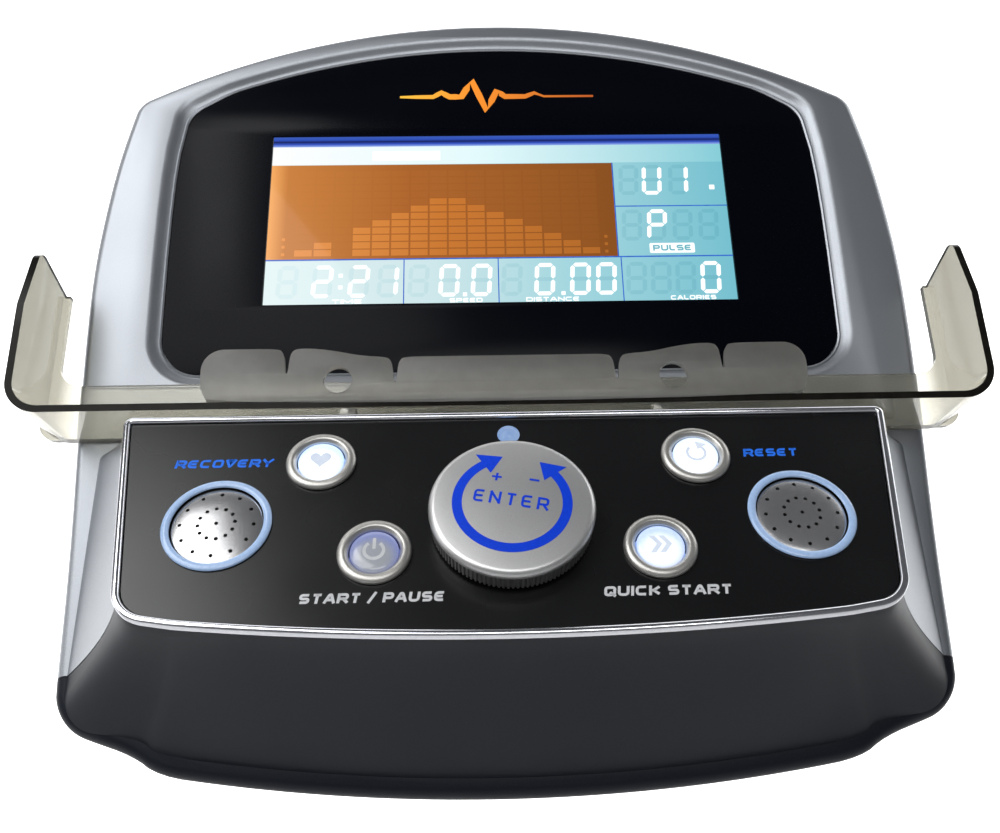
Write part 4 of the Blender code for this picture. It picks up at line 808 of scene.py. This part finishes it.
def make_screen():
    half, height = 93.0, 78.1
    field = glow(
        "lcd_field",
        [
            (0.0, (0.84, 0.97, 0.98)), (0.35, (0.68, 0.88, 0.91)), (0.65, (0.40, 0.74, 0.81)),
            (1.0, (0.20, 0.58, 0.69))
        ],
        "X", -half * MM, half * MM, 0.92,
    )
    base = prisms("lcd_field", [mm(rectangle(-half, 0.1, half, height))], LCD_BACK, LCD_FRONT)
    finish_piece(base, DISPLAY, "console", "lcd_panel", field)
    strip = glow(
        "lcd_strip", [(0.0, (1.0, 1.0, 1.0)), (0.45, (0.78, 0.97, 0.99)), (1.0, (0.24, 0.62, 0.70))],
        "X", -half * MM, half * MM, 1.0,
    )
    screen_piece("lcd_strip", [rectangle(-half, 64.5, half, 73.2)], 0, strip)
    blue = glow(
        "lcd_blue", [(0.0, (0.30, 0.45, 0.95)), (0.25, (0.04, 0.10, 0.62)), (0.5, (0.006, 0.012, 0.10)),
                     (0.7, (0.03, 0.09, 0.55)), (1.0, (0.05, 0.12, 0.55))],
        "Y", 73.2 * MM, 78.1 * MM, 0.9,
    )
    screen_piece("lcd_blue_band", [rectangle(-half, 73.2, half, height)], 0, blue)
    orange = glow(
        "lcd_orange",
        [
            (0.0, (0.95, 0.42, 0.12)), (0.05, (0.60, 0.22, 0.048)), (0.4, (0.41, 0.125, 0.023)),
            (1.0, (0.26, 0.08, 0.012))
        ],
        "X", -half * MM, 47 * MM, 1.0,
    )
    screen_piece("lcd_orange_field", [rectangle(-half, 20.0, 47.0, 64.2)], 1, orange)
    bars, ghosts = [], []
    levels = [1, 2, 0, 4, 5, 6, 7, 8, 8, 7, 6, 5, 4, 3, 2, 1]
    for k, level in enumerate(levels):
        x = -78.5 + 7.66 * k
        for row in range(12):
            block = rectangle(x - 3.45, 21.6 + 3.35 * row, x + 3.45, 24.4 + 3.35 * row)
            (bars if row < level else ghosts).append(block)
    bars += [dot(x, 22.5 + 3.4 * k, 1.3) for x in (-86.5, 42.5) for k in range(3)]
    lit = glow(
        "lcd_bars", [(0.0, (0.86, 0.33, 0.08)), (0.5, (0.60, 0.19, 0.03)), (1.0, (0.44, 0.14, 0.02))],
        "X", -half * MM, 47 * MM, 1.0,
    )
    screen_piece("lcd_bars", bars, 2, lit)
    faint = glow(
        "lcd_bar_ghosts",
        [(0.0, (0.63, 0.235, 0.05)), (0.4, (0.435, 0.135, 0.025)), (1.0, (0.275, 0.086, 0.013))],
        "X", -half * MM, 47 * MM, 1.0,
    )
    screen_piece("lcd_bar_ghosts", ghosts, 2, faint)
    lines = [
        rectangle(-half, 19.6, half, 20.2), rectangle(47.0, 43.0, half, 43.5),
        rectangle(46.8, 20.0, 47.3, 64.2)
    ]
    lines += [rectangle(x - 0.22, 0.2, x + 0.22, 19.6) for x in (-38.4, -1.1, 48.0)]
    navy = glow("lcd_line", [(0.3, (0.03, 0.12, 0.55)), (0.7, (0.05, 0.18, 0.7))])
    screen_piece("lcd_lines", lines, 3, navy)
    white = glow("lcd_white", [(0.3, (0.92, 1.0, 1.0)), (0.7, (1.0, 1.0, 1.0))], strength=1.15)
    cells = [("2", -70.3, 3.0), ("2", -56.0, 3.0), ("1", -44.6, 3.0), ("0", -20.5, 3.0), ("0", -7.8, 3.0)]
    cells += [("0", 17.2, 3.0), ("0", 31.3, 3.0), ("0", 41.6, 3.0), ("0", 83.2, 3.0)]
    cells += [("U", 63.0, 48.6), ("1", 74.0, 48.6), ("P", 63.6, 27.2)]
    digits = [bar for char, x, y in cells for bar in figure(char, x, y)]
    digits += [dot(-63.2, 7.6), dot(-63.2, 12.8), dot(-14.4, 3.9), dot(24.3, 3.9), dot(87.6, 52.0, 2.2)]
    screen_piece("lcd_digits", digits, 3, white)
    back = [("8", x, 3.0) for x in (-84.0, -70.3, -56.0, -44.6, -32.6, -20.5, -7.8, 4.2, 17.2, 31.3, 41.6)]
    back += [("8", x, 3.0) for x in (53.6, 63.4, 73.2, 83.2)]
    back += [("8", x, y) for y in (48.6, 27.2) for x in (53.4, 63.2, 74.0)]
    back += [("8", 84.6, 27.2)]
    ghost = glow(
        "lcd_ghost",
        [
            (0.0, (0.76, 0.93, 0.95)), (0.35, (0.60, 0.83, 0.87)), (0.65, (0.34, 0.67, 0.75)),
            (1.0, (0.165, 0.52, 0.63))
        ],
        "X", -half * MM, half * MM, 0.92,
    )
    screen_piece("lcd_ghosts", [bar for char, x, y in back for bar in figure(char, x, y)], 2, ghost)
    for name, words, x, y, width in (
        ("lcd_word_time", "TIME", -60.5, 1.35, 12.0),
        ("lcd_word_speed", "SPEED", -14.0, 1.35, 13.0),
        ("lcd_word_distance", "DISTANCE", 20.0, 1.35, 21.0),
        ("lcd_word_calories", "CALORIES", 75.5, 1.35, 18.0),
    ):
        word = move_mesh(fitted_text(name, words, width * MM, 1.9 * MM), x * MM, y * MM, layer(3)[1])
        finish_piece(word, DISPLAY, "console", "lcd_panel", white)
    screen_piece("lcd_pulse_box", [rectangle(59.8, 21.4, 78.0, 25.9, 0.6)], 3, white)
    teal = glow("lcd_teal_ink", [(0.3, (0.15, 0.46, 0.54)), (0.7, (0.2, 0.52, 0.6))])
    word = fitted_text("lcd_word_pulse", "PULSE", 15.5 * MM, 2.6 * MM)
    move_mesh(word, 68.9 * MM, 23.65 * MM, layer(4)[1])
    finish_piece(word, DISPLAY, "console", "lcd_panel", teal)
    screen_piece("lcd_top_label", [rectangle(-52.0, 66.2, -24.0, 70.8, 0.5)], 3, white)


def make_lens():
    window = rectangle(-WINDOW_HALF, 0, WINDOW_HALF, WINDOW_HEIGHT)
    lens = plate("lens_black", [lens_outline(), window], -LENS_THICK, 0)
    bevel(lens, 0.35 * MM, 2, 50)
    finish_piece(lens, DISPLAY, "console", "display_lens", LENS, "display_lens")
    glowing = glow(
        "mark_orange", [(0.0, (1.0, 0.55, 0.06)), (0.35, (0.95, 0.30, 0.03)), (1.0, (0.50, 0.10, 0.02))],
        "X", -42 * MM, 42 * MM, 1.1,
    )
    y = 97.5
    beat = [
        (-41, y), (-27, y), (-23.5, y + 2.2), (-20, y), (-15, y), (-10.5, y + 8.2), (-4.5, y - 7.0),
        (0, y + 3.0)
    ]
    beat += [(3.5, y), (12, y), (16, y + 1.8), (20, y), (41, y)]
    fine = []
    for a, b in zip(beat, beat[1:]):
        fine += [(a[0] + (b[0] - a[0]) * t, a[1] + (b[1] - a[1]) * t) for t in (0, 0.5)]
    fine.append(beat[-1])
    widths = [
        1.0 + 1.9 * math.sin(math.pi * min(i / (len(fine) - 1) * 1.15, 1.0)) ** 0.5 for i in range(len(fine))
    ]
    mark = prisms("pulse_mark", [mm(ribbon_outline(fine, widths))], -0.02 * MM, 0.06 * MM)
    finish_piece(mark, DISPLAY, "console", "lens_mask", glowing)


# ---- control panel ----


def make_trim():
    section = [
        (0, RIM_TOP + GAP), (0, 0.65 * MM), (0.2 * MM, 1.05 * MM), (0.65 * MM, TRIM_RISE),
        (1.25 * MM, TRIM_RISE + 0.08 * MM)
    ]
    section += [
        (1.8 * MM, TRIM_RISE), (2.2 * MM, 0.95 * MM), (TRIM_WIDTH, 0.5 * MM), (TRIM_WIDTH, RIM_TOP + GAP)
    ]
    trim = ring_loft("trim_skin", [at_height(panel_outline(depth), height) for depth, height in section])
    finish_piece(trim, PANEL, "console", "bright_trim", TRIM, "panel_trim", angle=60)


def make_labels():
    for name, words, x, y, width, height, material in (
        ("label_recovery", "RECOVERY", -91.3, 24.6, 31.0, 3.3, LABEL_BLUE),
        ("label_reset", "RESET", 85.2, 25.4, 17.8, 3.2, LABEL_BLUE),
        ("label_start_pause", "START / PAUSE", -41.2, -26.0, 42.0, 3.3, LABEL_GREY),
        ("label_quick_start", "QUICK START", 44.8, -25.6, 37.5, 3.3, LABEL_GREY),
    ):
        label = fitted_text(name, words, width * MM, height * MM)
        for v in label.data.vertices:
            v.co.x += 0.12 * v.co.y
        move_mesh(label, x * MM, y * MM, 0.03 * MM)
        finish_piece(label, PANEL, "console", "black_overlay", material)


def cap_light(name, bright, tint, strength, body=0.5):
    """The lit face of a push button: white in the middle, tinted towards its rim and its upper side."""
    dark, light = ((body * k, body * 1.12 * k, body * 1.3 * k) for k in (1.0, 1.15))
    made, nodes, principled = shader(name, dark, light, (0.18, 0.26), bump=0)
    coords = nodes.add("ShaderNodeTexCoord")
    mapping = nodes.add("ShaderNodeMapping")
    mapping.inputs["Location"].default_value = (0, 0.28, 0)
    mapping.inputs["Scale"].default_value = (120, 125, 0)
    nodes.link(coords.outputs["Object"], mapping.inputs["Vector"])
    gradient = nodes.add("ShaderNodeTexGradient", gradient_type="SPHERICAL")
    nodes.link(mapping.outputs["Vector"], gradient.inputs["Vector"])
    color = nodes.ramp(gradient.outputs["Fac"], [(0.0, tint), (0.55, bright)], True)
    nodes.link(color, principled.inputs["Emission Color"])
    principled.inputs["Emission Strength"].default_value = strength
    principled.inputs["Coat Weight"].default_value = 0.8
    return made


def icon_outlines(name):
    """A plain sign for each button, in millimetres."""
    if name == "start_pause":
        arc = arc_points((0, -0.2), 2.9, math.radians(-235), math.radians(55), 28)
        return [ribbon_outline(arc, [1.0] * len(arc)), rectangle(-0.5, 0.2, 0.5, 4.1, 0.3)]
    if name == "quick_start":
        arrow = ((-2.6, -3), (-0.9, -3), (1.3, 0), (-0.9, 3), (-2.6, 3), (-0.4, 0))
        return [[(x + dx, y) for x, y in arrow] for dx in (-0.9, 2.0)]
    if name == "reset":
        arc = arc_points((0, 0), 2.9, math.radians(60), math.radians(-230), 28)
        return [ribbon_outline(arc, [0.95] * len(arc)), [(0.2, 4.6), (3.6, 3.4), (0.6, 1.2)]]
    heart = []
    for i in range(36):
        a = 2 * math.pi * i / 36
        height = 13 * math.cos(a) - 5 * math.cos(2 * a) - 2 * math.cos(3 * a) - math.cos(4 * a)
        heart.append((0.21 * 16 * math.sin(a) ** 3, 0.21 * height))
    return [heart]


def make_buttons():
    ring = [
        (8.9, 2.05), (9.8, 1.98), (10.5, 1.75), (11.0, 1.3), (11.2, 0.75), (11.2, 0.3), (7.75, 0.3),
        (7.75, 0.9)
    ]
    ring += [(7.95, 1.15), (8.3, 1.5), (8.55, 1.85)]
    cap = [
        (0, 1.95), (2.5, 1.9), (4.6, 1.72), (6.2, 1.42), (7.0, 1.12), (7.3, 0.75), (7.35, 0.4), (7.35, -4.1)
    ]
    cap += [(9.6, -4.1), (9.6, -5.1), (0, -5.1)]
    lights = {
        "recovery": cap_light("cap_light_recovery", (0.95, 0.98, 1.0), (0.34, 0.52, 0.90), 1.1),
        "reset": cap_light("cap_light_reset", (0.95, 0.97, 1.0), (0.50, 0.62, 0.85), 1.05),
        "start_pause": cap_light("cap_light_start", (0.30, 0.31, 0.34), (0.18, 0.22, 0.55), 0.75, 0.12),
        "quick_start": cap_light("cap_light_quick", (0.85, 0.9, 1.0), (0.26, 0.40, 0.80), 0.85),
    }
    dim_sign = glow("sign_dim", [(0.3, (0.80, 0.84, 0.88)), (0.7, (0.9, 0.92, 0.95))], strength=0.62)
    lit_sign = glow("sign_lit", [(0.3, (0.66, 0.74, 0.88)), (0.7, (0.74, 0.81, 0.92))], strength=1.0)
    for name, (x, y) in BUTTONS.items():
        place = PANEL @ Matrix.Translation((x, y, 0))
        bezel_piece = lathe("bezel_" + name, [(r * MM, z * MM) for r, z in ring], 72)
        finish_piece(bezel_piece, place, "console", "satin_ring", SATIN, "button_bezel_" + name, angle=50)
        face = lathe("cap_" + name, [(r * MM, z * MM) for r, z in cap], 64)
        finish_piece(face, place, "button_" + name, "lit_cap", lights[name], "button_cap_" + name)
        sign = prisms("sign_" + name, [mm(o) for o in icon_outlines(name)], 1.55 * MM, 1.97 * MM)
        ink = dim_sign if name == "start_pause" else lit_sign
        finish_piece(sign, place, "button_" + name, "lit_cap", ink)


def dome_height(radius):
    """Height of the dial's top at a radius, in metres."""
    share = min(radius / (DIAL_RADIUS - DIAL_EDGE), 1.0)
    return DIAL_TOP + 0.1 * MM + (DIAL_DOME - 0.1 * MM) * (1 - share**2)


def drape(obj, lift=0.03 * MM):
    """Lays a flat print on the dial's dome."""
    for v in obj.data.vertices:
        v.co.z += dome_height(math.hypot(v.co.x, v.co.y)) + lift
    return obj


def grid_ring(name, inner, outer, start, end, steps):
    """A thin printed ring laid on the dial's dome."""
    low, high = -0.02 * MM, 0.04 * MM
    section = [(inner, low), (inner, high), ((inner + outer) / 2, high), (outer, high), (outer, low)]
    bm = bmesh.new()
    columns = []
    for i in range(steps + 1):
        a = math.radians(start + (end - start) * i / steps)
        column = []
        for r, lift in section:
            column.append(bm.verts.new((r * math.cos(a), r * math.sin(a), dome_height(r) + lift)))
        columns.append(column)
    for one, two in zip(columns, columns[1:]):
        for k in range(5):
            bm.faces.new((one[k], one[(k + 1) % 5], two[(k + 1) % 5], two[k]))
    bm.faces.new(columns[0])
    bm.faces.new(columns[-1][::-1])
    return mesh_of(name, bm)


def make_dial():
    flat = DIAL_RADIUS - DIAL_EDGE
    top = [(flat * k / 10, dome_height(flat * k / 10)) for k in range(11)]
    edge = [
        (
            flat + DIAL_EDGE * math.sin(a),
            DIAL_TOP - DIAL_EDGE + 0.1 * MM * math.cos(a) + DIAL_EDGE * math.cos(a)
        )
        for a in (math.radians(15 * k) for k in range(1, 7))
    ]
    profile = [
        *top, *edge, (DIAL_RADIUS, CAP_SPLIT + 0.15 * MM), (DIAL_RADIUS - 0.15 * MM, CAP_SPLIT),
        (0, CAP_SPLIT)
    ]
    cap = lathe("dial_top", profile, 128)
    finish_piece(cap, PANEL, "dial", "dial_silver", DIAL, "dial_cap", angle=50)
    ring = grid_ring("dial_ring", RING_INNER, RING_OUTER, RING_START, RING_END, 110)
    finish_piece(ring, PANEL, "dial", "dial_silver", INK_BLUE, angle=80)
    heads = []
    for angle, way in ((RING_START, -1), (RING_END - 360, 1)):
        a = math.radians(angle)
        tip = math.radians(angle + way * 22)
        heads.append([(r * math.cos(t), r * math.sin(t)) for r, t in ((12.5, a), (21.5, a), (17.4, tip))])
    level, upright = rectangle(-1.5, -0.35, 1.5, 0.35), rectangle(-0.35, -1.5, 0.35, 1.5)
    cos, sin = math.cos(PRINT_TURN), math.sin(PRINT_TURN)
    for sign, x0, y0 in ((level, -4.4, 9.2), (upright, -4.4, 9.2), (level, 7.0, 7.6)):
        heads.append([(x * cos - y * sin + x0, x * sin + y * cos + y0) for x, y in sign])
    # The plus's upright stands a little above its level bar, so that their tops share no plane.
    marks = prisms("dial_marks", [mm(o) for o in heads[:3]], -0.01 * MM, 0.04 * MM)
    others = prisms("dial_signs", [mm(o) for o in heads[3:]], -0.01 * MM, 0.05 * MM)
    word = fitted_text("dial_word", "ENTER", 22.8 * MM, 4.5 * MM, 0.17, 0.32)
    move_mesh(word, -0.3 * MM, 0.4 * MM, 0.02 * MM, PRINT_TURN)
    for piece in (marks, others, word):
        finish_piece(drape(piece), PANEL, "dial", "dial_silver", INK_BLUE)
    ridges = 110
    outer = DIAL_RADIUS - 0.35 * MM
    wave = [
        (r * math.cos(t), r * math.sin(t))
        for i in range(ridges)
        for r, t in (
            (outer, 2 * math.pi * i / ridges),
            (outer, 2 * math.pi * (i + 0.4) / ridges),
            (outer - 0.5 * MM, 2 * math.pi * (i + 0.6) / ridges),
            (outer - 0.5 * MM, 2 * math.pi * (i + 0.8) / ridges),
        )
    ]
    inner = circle(outer - 2.6 * MM, len(wave))
    low, high = 1.5 * MM, CAP_SPLIT - GAP
    grip = ring_loft(
        "grip_ring",
        [at_height(wave, low), at_height(wave, high), at_height(inner, high), at_height(inner, low)]
    )
    finish_piece(grip, PANEL, "dial", "dial_silver", GRIP, "dial_grip", angle=25)


def make_speakers():
    ring = [(14.2, 0.3), (14.2, 0.75), (14.45, 1.0), (15.5, 1.08), (16.3, 0.95), (16.7, 0.6), (16.7, 0.3)]
    low = RIM_TOP + GAP
    for name, (x, y) in SPEAKERS.items():
        place = PANEL @ Matrix.Translation((x, y, 0))
        rim = lathe("speaker_rim_" + name, [(r * MM, z * MM) for r, z in ring], 96)
        finish_piece(rim, place, "console", "speaker_blue", SPEAKER_BLUE, "speaker_ring_" + name, angle=50)
        turns = [math.radians(9 * k) for k in range(10)]
        outer = [(13.9 * MM * math.sin(a), low + 0.64 * MM + 1.35 * MM * math.cos(a) ** 1.3) for a in turns]
        inner = [(12.7 * MM * math.sin(a), low + 0.9 * MM * math.cos(a) ** 1.3) for a in turns[::-1]]
        disc = lathe("grille_" + name, [*outer, (13.9 * MM, low), *inner], 72)
        drills = [circle(0.62 * MM, 12)]
        for radius, count, turn in ((5.6, 12, 0.13), (11.2, 12, 0.0)):
            for k in range(count):
                a = 2 * math.pi * (k / count) + turn
                drills.append(circle(0.62 * MM, 12, (radius * MM * math.cos(a), radius * MM * math.sin(a))))
        cut(disc, prisms("drills", drills, low - OVERLAP, low + 4 * MM))
        finish_piece(disc, place, "console", "grille_metal", GRILLE, "speaker_grille_" + name, angle=30)


def make_indicator():
    profile = [
        (0, 2.4), (1.3, 2.25), (2.4, 1.8), (3.2, 1.1), (3.6, 0.6), (3.7, 0.3), (2.4, 0.3), (2.4, -6), (0, -6)
    ]
    lamp = lathe("indicator_lamp", [(r * MM, z * MM) for r, z in profile], 40)
    light = glow("indicator_light", [(0.3, (0.30, 0.48, 0.88)), (0.7, (0.40, 0.58, 0.92))], strength=0.7)
    place = PANEL @ Matrix.Translation((0, INDICATOR_Y, 0))
    finish_piece(lamp, place, "console", "indicator_blue", light, "indicator_lens")


# ---- reading rack ----


def rack_channel():
    steps, top = 12, WING_PEAK[0] + OVERLAP
    bend = RACK_CORNER - RACK_THICK
    left, right = ((side * (RACK_HALF - RACK_CORNER), RACK_FLOOR + RACK_CORNER) for side in (-1, 1))
    outer = [(-RACK_HALF, top)]
    outer += arc_points(left, RACK_CORNER, math.pi, 1.5 * math.pi, steps)
    outer += arc_points(right, RACK_CORNER, -0.5 * math.pi, 0, steps)
    inner = [(RACK_HALF, top), (RACK_HALF - RACK_THICK, top)]
    inner += arc_points(right, bend, 0, -0.5 * math.pi, steps)
    inner += arc_points(left, bend, 1.5 * math.pi, math.pi, steps)
    return outer + inner + [(-RACK_HALF + RACK_THICK, top)]


def rack_flange():
    edge, floor, corner = RACK_HALF - FLANGE_STEP, RACK_FLOOR + FLANGE_STEP, FLANGE_CORNER
    inner = RACK_HALF - FLANGE_STRIP
    right = [(edge, floor + corner), (edge, WING_TOP - 1.0 * MM), (inner, WING_TOP - 1.0 * MM)]
    right += arc_points((inner - 8 * MM, FLANGE_TOP + 8 * MM), 8 * MM, 0, -0.5 * math.pi, 10)
    left = [(-x, y) for x, y in reversed(right)]
    bottom = arc_points((-edge + corner, floor + corner), corner, math.pi, 1.5 * math.pi, 8)[1:]
    bottom += arc_points((edge - corner, floor + corner), corner, -0.5 * math.pi, 0, 8)[:-1]
    return right + left + bottom


def lip_outline():
    inner_notch, outer_notch = LIP_NOTCHES
    slit = NOTCH_WIDTH / 2
    top, low = LIP_OUTER_TOP, LIP_INNER_TOP
    right = [(inner_notch - 14 * MM, low), (inner_notch - NOTCH_FLARE, low)]
    for x, left_top, right_top in ((inner_notch, low, low), (outer_notch, top, top)):
        right += [(x - slit - 0.6 * MM, left_top - 1.4 * MM), (x - slit, left_top - 3.6 * MM)]
        right += [(x - 0.5 * MM, left_top - NOTCH_DEPTH + 0.6 * MM), (x, left_top - NOTCH_DEPTH)]
        right += [(x + 0.5 * MM, left_top - NOTCH_DEPTH + 0.6 * MM), (x + slit, right_top - 3.6 * MM)]
        right += [(x + slit + 0.6 * MM, right_top - 1.4 * MM), (x + NOTCH_FLARE, right_top)]
        if x == inner_notch:
            right += [
                (x + 12 * MM, low + 0.6 * MM), (x + 22 * MM, top - 0.8 * MM), (outer_notch - 8 * MM, top)
            ]
            right += [(outer_notch - NOTCH_FLARE, top - 0.1 * MM)]
    right += arc_points((LIP_HALF - LIP_ROUND, top - LIP_ROUND), LIP_ROUND, 0.5 * math.pi, 0, 10)
    right += [
        (LIP_HALF, -46.0 * MM), (LIP_HALF - 0.6 * MM, RACK_FLOOR + 7.0 * MM),
        (LIP_HALF - 3.5 * MM, RACK_FLOOR + 1.5 * MM)
    ]
    return smooth([(-x, y) for x, y in reversed(right)] + right, 2)


def make_rack():
    rack = plate("rack_skin", [rack_channel()], RACK_BACK, RACK_FRONT)
    low, front, back = RACK_FLOOR - OVERLAP, RACK_FRONT + OVERLAP, RACK_BACK - OVERLAP
    lean = OVERLAP * (WING_PEAK[0] - WING_BEND) / (RACK_FRONT - WING_PEAK[1])
    corners = [
        (low, back, 0), (low, front, 0), (WING_BEND - lean, front, 40 * MM), (*WING_PEAK, WING_ROUND),
        (WING_TOP, back, 0)
    ]
    side = rounded(corners, 10)
    reach = RACK_HALF + OVERLAP
    combine(rack, loft("wing_ends", [[(x, y, z) for y, z in side] for x in (-reach, reach)]), "INTERSECT")
    join(rack, plate("flange", [rack_flange()], RACK_BACK, RACK_BACK + RACK_THICK))
    for x in (-ACCESS_X, ACCESS_X):
        cut(rack, prisms("hole", [circle(1.7 * MM, 20, (x, ACCESS_Y))], 0, 12 * MM))
    bevel(rack, 0.7 * MM, 4, 40)
    rack.data.materials.append(SMOKE)
    rack.data.materials.append(SMOKE_EDGE_SHADE)
    # Front and top edge faces get the near-black painted shade material; the rest keeps the clear smoke
    # plastic.
    for face in rack.data.polygons:
        place, normal = face.center, face.normal
        front_edge = normal.z > 0.25 and place.z > 10 * MM
        top_edge = normal.y > 0.6 and abs(place.x) > RACK_HALF - 6 * MM and place.y > -20 * MM
        face.material_index = int(front_edge or top_edge)
    finish_piece(rack, DISPLAY, "console", "smoke_rack", SMOKE, "reading_rack", angle=40)
    access = [circle(ACCESS_RADIUS, 32, (x, ACCESS_Y)) for x in (-ACCESS_X, ACCESS_X)]
    lip = plate("rack_lip", [lip_outline(), *access], RACK_FRONT - RACK_THICK, RACK_FRONT + 0.05 * MM)
    bevel(lip, 0.6 * MM, 3, 40)
    finish_piece(lip, DISPLAY, "console", "smoke_rack", FROST, angle=40)


# ---- CAD nodes that stay as they are ----

KEPT = {
    "rear_cover": REAR, "lens_mask": LENS, "lcd_glass": LENS, "lcd_backlight": WHITE, "lcd_frame": STEEL,
    "main_board": BOARD, "keypad_board": BOARD, "main_chip": DARK, "buzzer": DARK, "keypad_ribbon": DARK,
    "harness_socket": WHITE, "control_deck": DARK, "panel_overlay": OVERLAY, "encoder_body": STEEL,
    "encoder_nut": STEEL, "encoder_shaft": STEEL, "encoder_plunger": DARK, "cable_grommet": RUBBER,
    "speaker_cone_left": PAPER, "speaker_cone_right": PAPER,
    "speaker_basket_left": STEEL, "speaker_basket_right": STEEL,
    "rack_screw_left": STEEL, "rack_screw_right": STEEL,
}
KEPT.update({f"case_screw_{i}": STEEL for i in range(1, 5)})
KEPT.update({f"mast_insert_{i}": BRASS for i in range(1, 5)})
KEPT.update({"switch_body_" + name: STEEL for name in BUTTONS})
KEPT.update({"switch_stem_" + name: DARK for name in BUTTONS})


def dress_nodes():
    for name, material in KEPT.items():
        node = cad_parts[name]
        if not node.material_slots:
            node.data.materials.append(material)
        for place in node.material_slots:
            place.material = material


# ---- floor, light and camera ----


def area_light(name, place, target, size, power):
    data = bpy.data.lights.new(name, "AREA")
    data.shape = "RECTANGLE"
    data.size, data.size_y = size
    data.energy = power
    lamp = bpy.data.objects.new(name, data)
    lamp.location = place
    lamp.rotation_euler = (Vector(target) - Vector(place)).to_track_quat("-Z", "Y").to_euler()
    bpy.context.scene.collection.objects.link(lamp)


def make_stage():
    bm = bmesh.new()
    reach, floor, back, bend = 6.0, -0.42, 3.0, 1.5
    section = [(-reach, floor), (back - bend, floor)]
    section += [
        (back - bend + bend * math.sin(a), floor + bend - bend * math.cos(a))
        for a in (math.radians(7.5 * k) for k in range(1, 13))
    ]
    section.append((back, 5.0))
    rows = [[bm.verts.new((x, y, z)) for y, z in section] for x in (-reach, reach)]
    for k in range(len(section) - 1):
        bm.faces.new((rows[0][k], rows[1][k], rows[1][k + 1], rows[0][k + 1]))
    floor_piece = mesh_of("studio_floor", bm)
    floor_piece.data.shade_smooth()
    made, nodes, principled = shader("studio_paper_painted_glow", grey(0.84), grey(0.88), (0.8, 0.9), grain=30.0, bump=0)
    # From y = 0.12 to 0.30 m the floor begins to glow: painted light that keeps the backdrop white, with no
    # glow in front of the console.
    lit = nodes.ramp(nodes.along("Y", 0.12, 0.30), [(0.0, (0, 0, 0)), (1.0, (1.0, 1.0, 1.0))])
    nodes.link(lit, principled.inputs["Emission Color"])
    principled.inputs["Emission Strength"].default_value = 1.0
    floor_piece.data.materials.append(made)


def make_world():
    world = bpy.data.worlds.new("studio")
    bpy.context.scene.world = world
    world.use_nodes = True
    nodes = Nodes(world.node_tree)
    background = world.node_tree.nodes["Background"]
    coords = nodes.add("ShaderNodeTexCoord")
    parts = nodes.add("ShaderNodeSeparateXYZ")
    nodes.link(coords.outputs["Generated"], parts.inputs["Vector"])
    color = nodes.ramp(
        parts.outputs["Z"], [(0.0, (1.0, 1.0, 1.0)), (0.35, (0.5, 0.52, 0.55)), (0.9, (0.4, 0.41, 0.43))]
    )
    nodes.link(color, background.inputs["Color"])
    background.inputs["Strength"].default_value = 0.22


def make_camera():
    data = bpy.data.cameras.new("camera")
    data.sensor_width = 36.0
    data.lens = 36.0
    data.shift_x, data.shift_y = -0.0108, 0.0012
    data.clip_start = 0.01
    camera = bpy.data.objects.new("camera", data)
    camera.location = (-0.0090, -0.3890, 0.1835)
    azimuth, elevation, roll = math.radians(-1.82), math.radians(19.42), math.radians(0.33)
    back = Vector(
        (
            math.sin(azimuth) * math.cos(elevation), -math.cos(azimuth) * math.cos(elevation),
            math.sin(elevation)
        )
    )
    camera.rotation_euler = (
        (-back).to_track_quat("-Z", "Y").to_matrix() @ Matrix.Rotation(-roll, 3, "Z")
    ).to_euler(
    )
    bpy.context.scene.collection.objects.link(camera)
    bpy.context.scene.camera = camera


make_camera()
make_stage()
make_world()
area_light("key", (-0.66, -0.44, 0.92), (-0.10, -0.06, 0.05), (0.85, 0.95), 7.2)
area_light("glare", (-0.44, -0.08, 0.90), (-0.11, -0.13, 0.04), (0.34, 0.24), 0.55)
area_light("left_fill", (-1.1, -0.2, 0.35), (-0.1, 0, 0.08), (0.5, 0.9), 1.4)
area_light("right_rim", (1.0, 0.45, 0.6), (0.1, 0, 0.05), (0.4, 0.9), 1.6)
area_light("front", (0.05, -0.86, 0.98), (0, -0.12, 0.05), (0.7, 0.34), 2.8)
area_light("backdrop", (0, 0.6, 1.1), (0, 3.0, 0.2), (4.0, 1.0), 60)
bpy.context.scene.view_settings.view_transform = "Standard"

make_shells()
make_screen()
make_lens()
make_trim()
make_labels()
make_buttons()
make_dial()
make_speakers()
make_indicator()
make_rack()
dress_nodes()
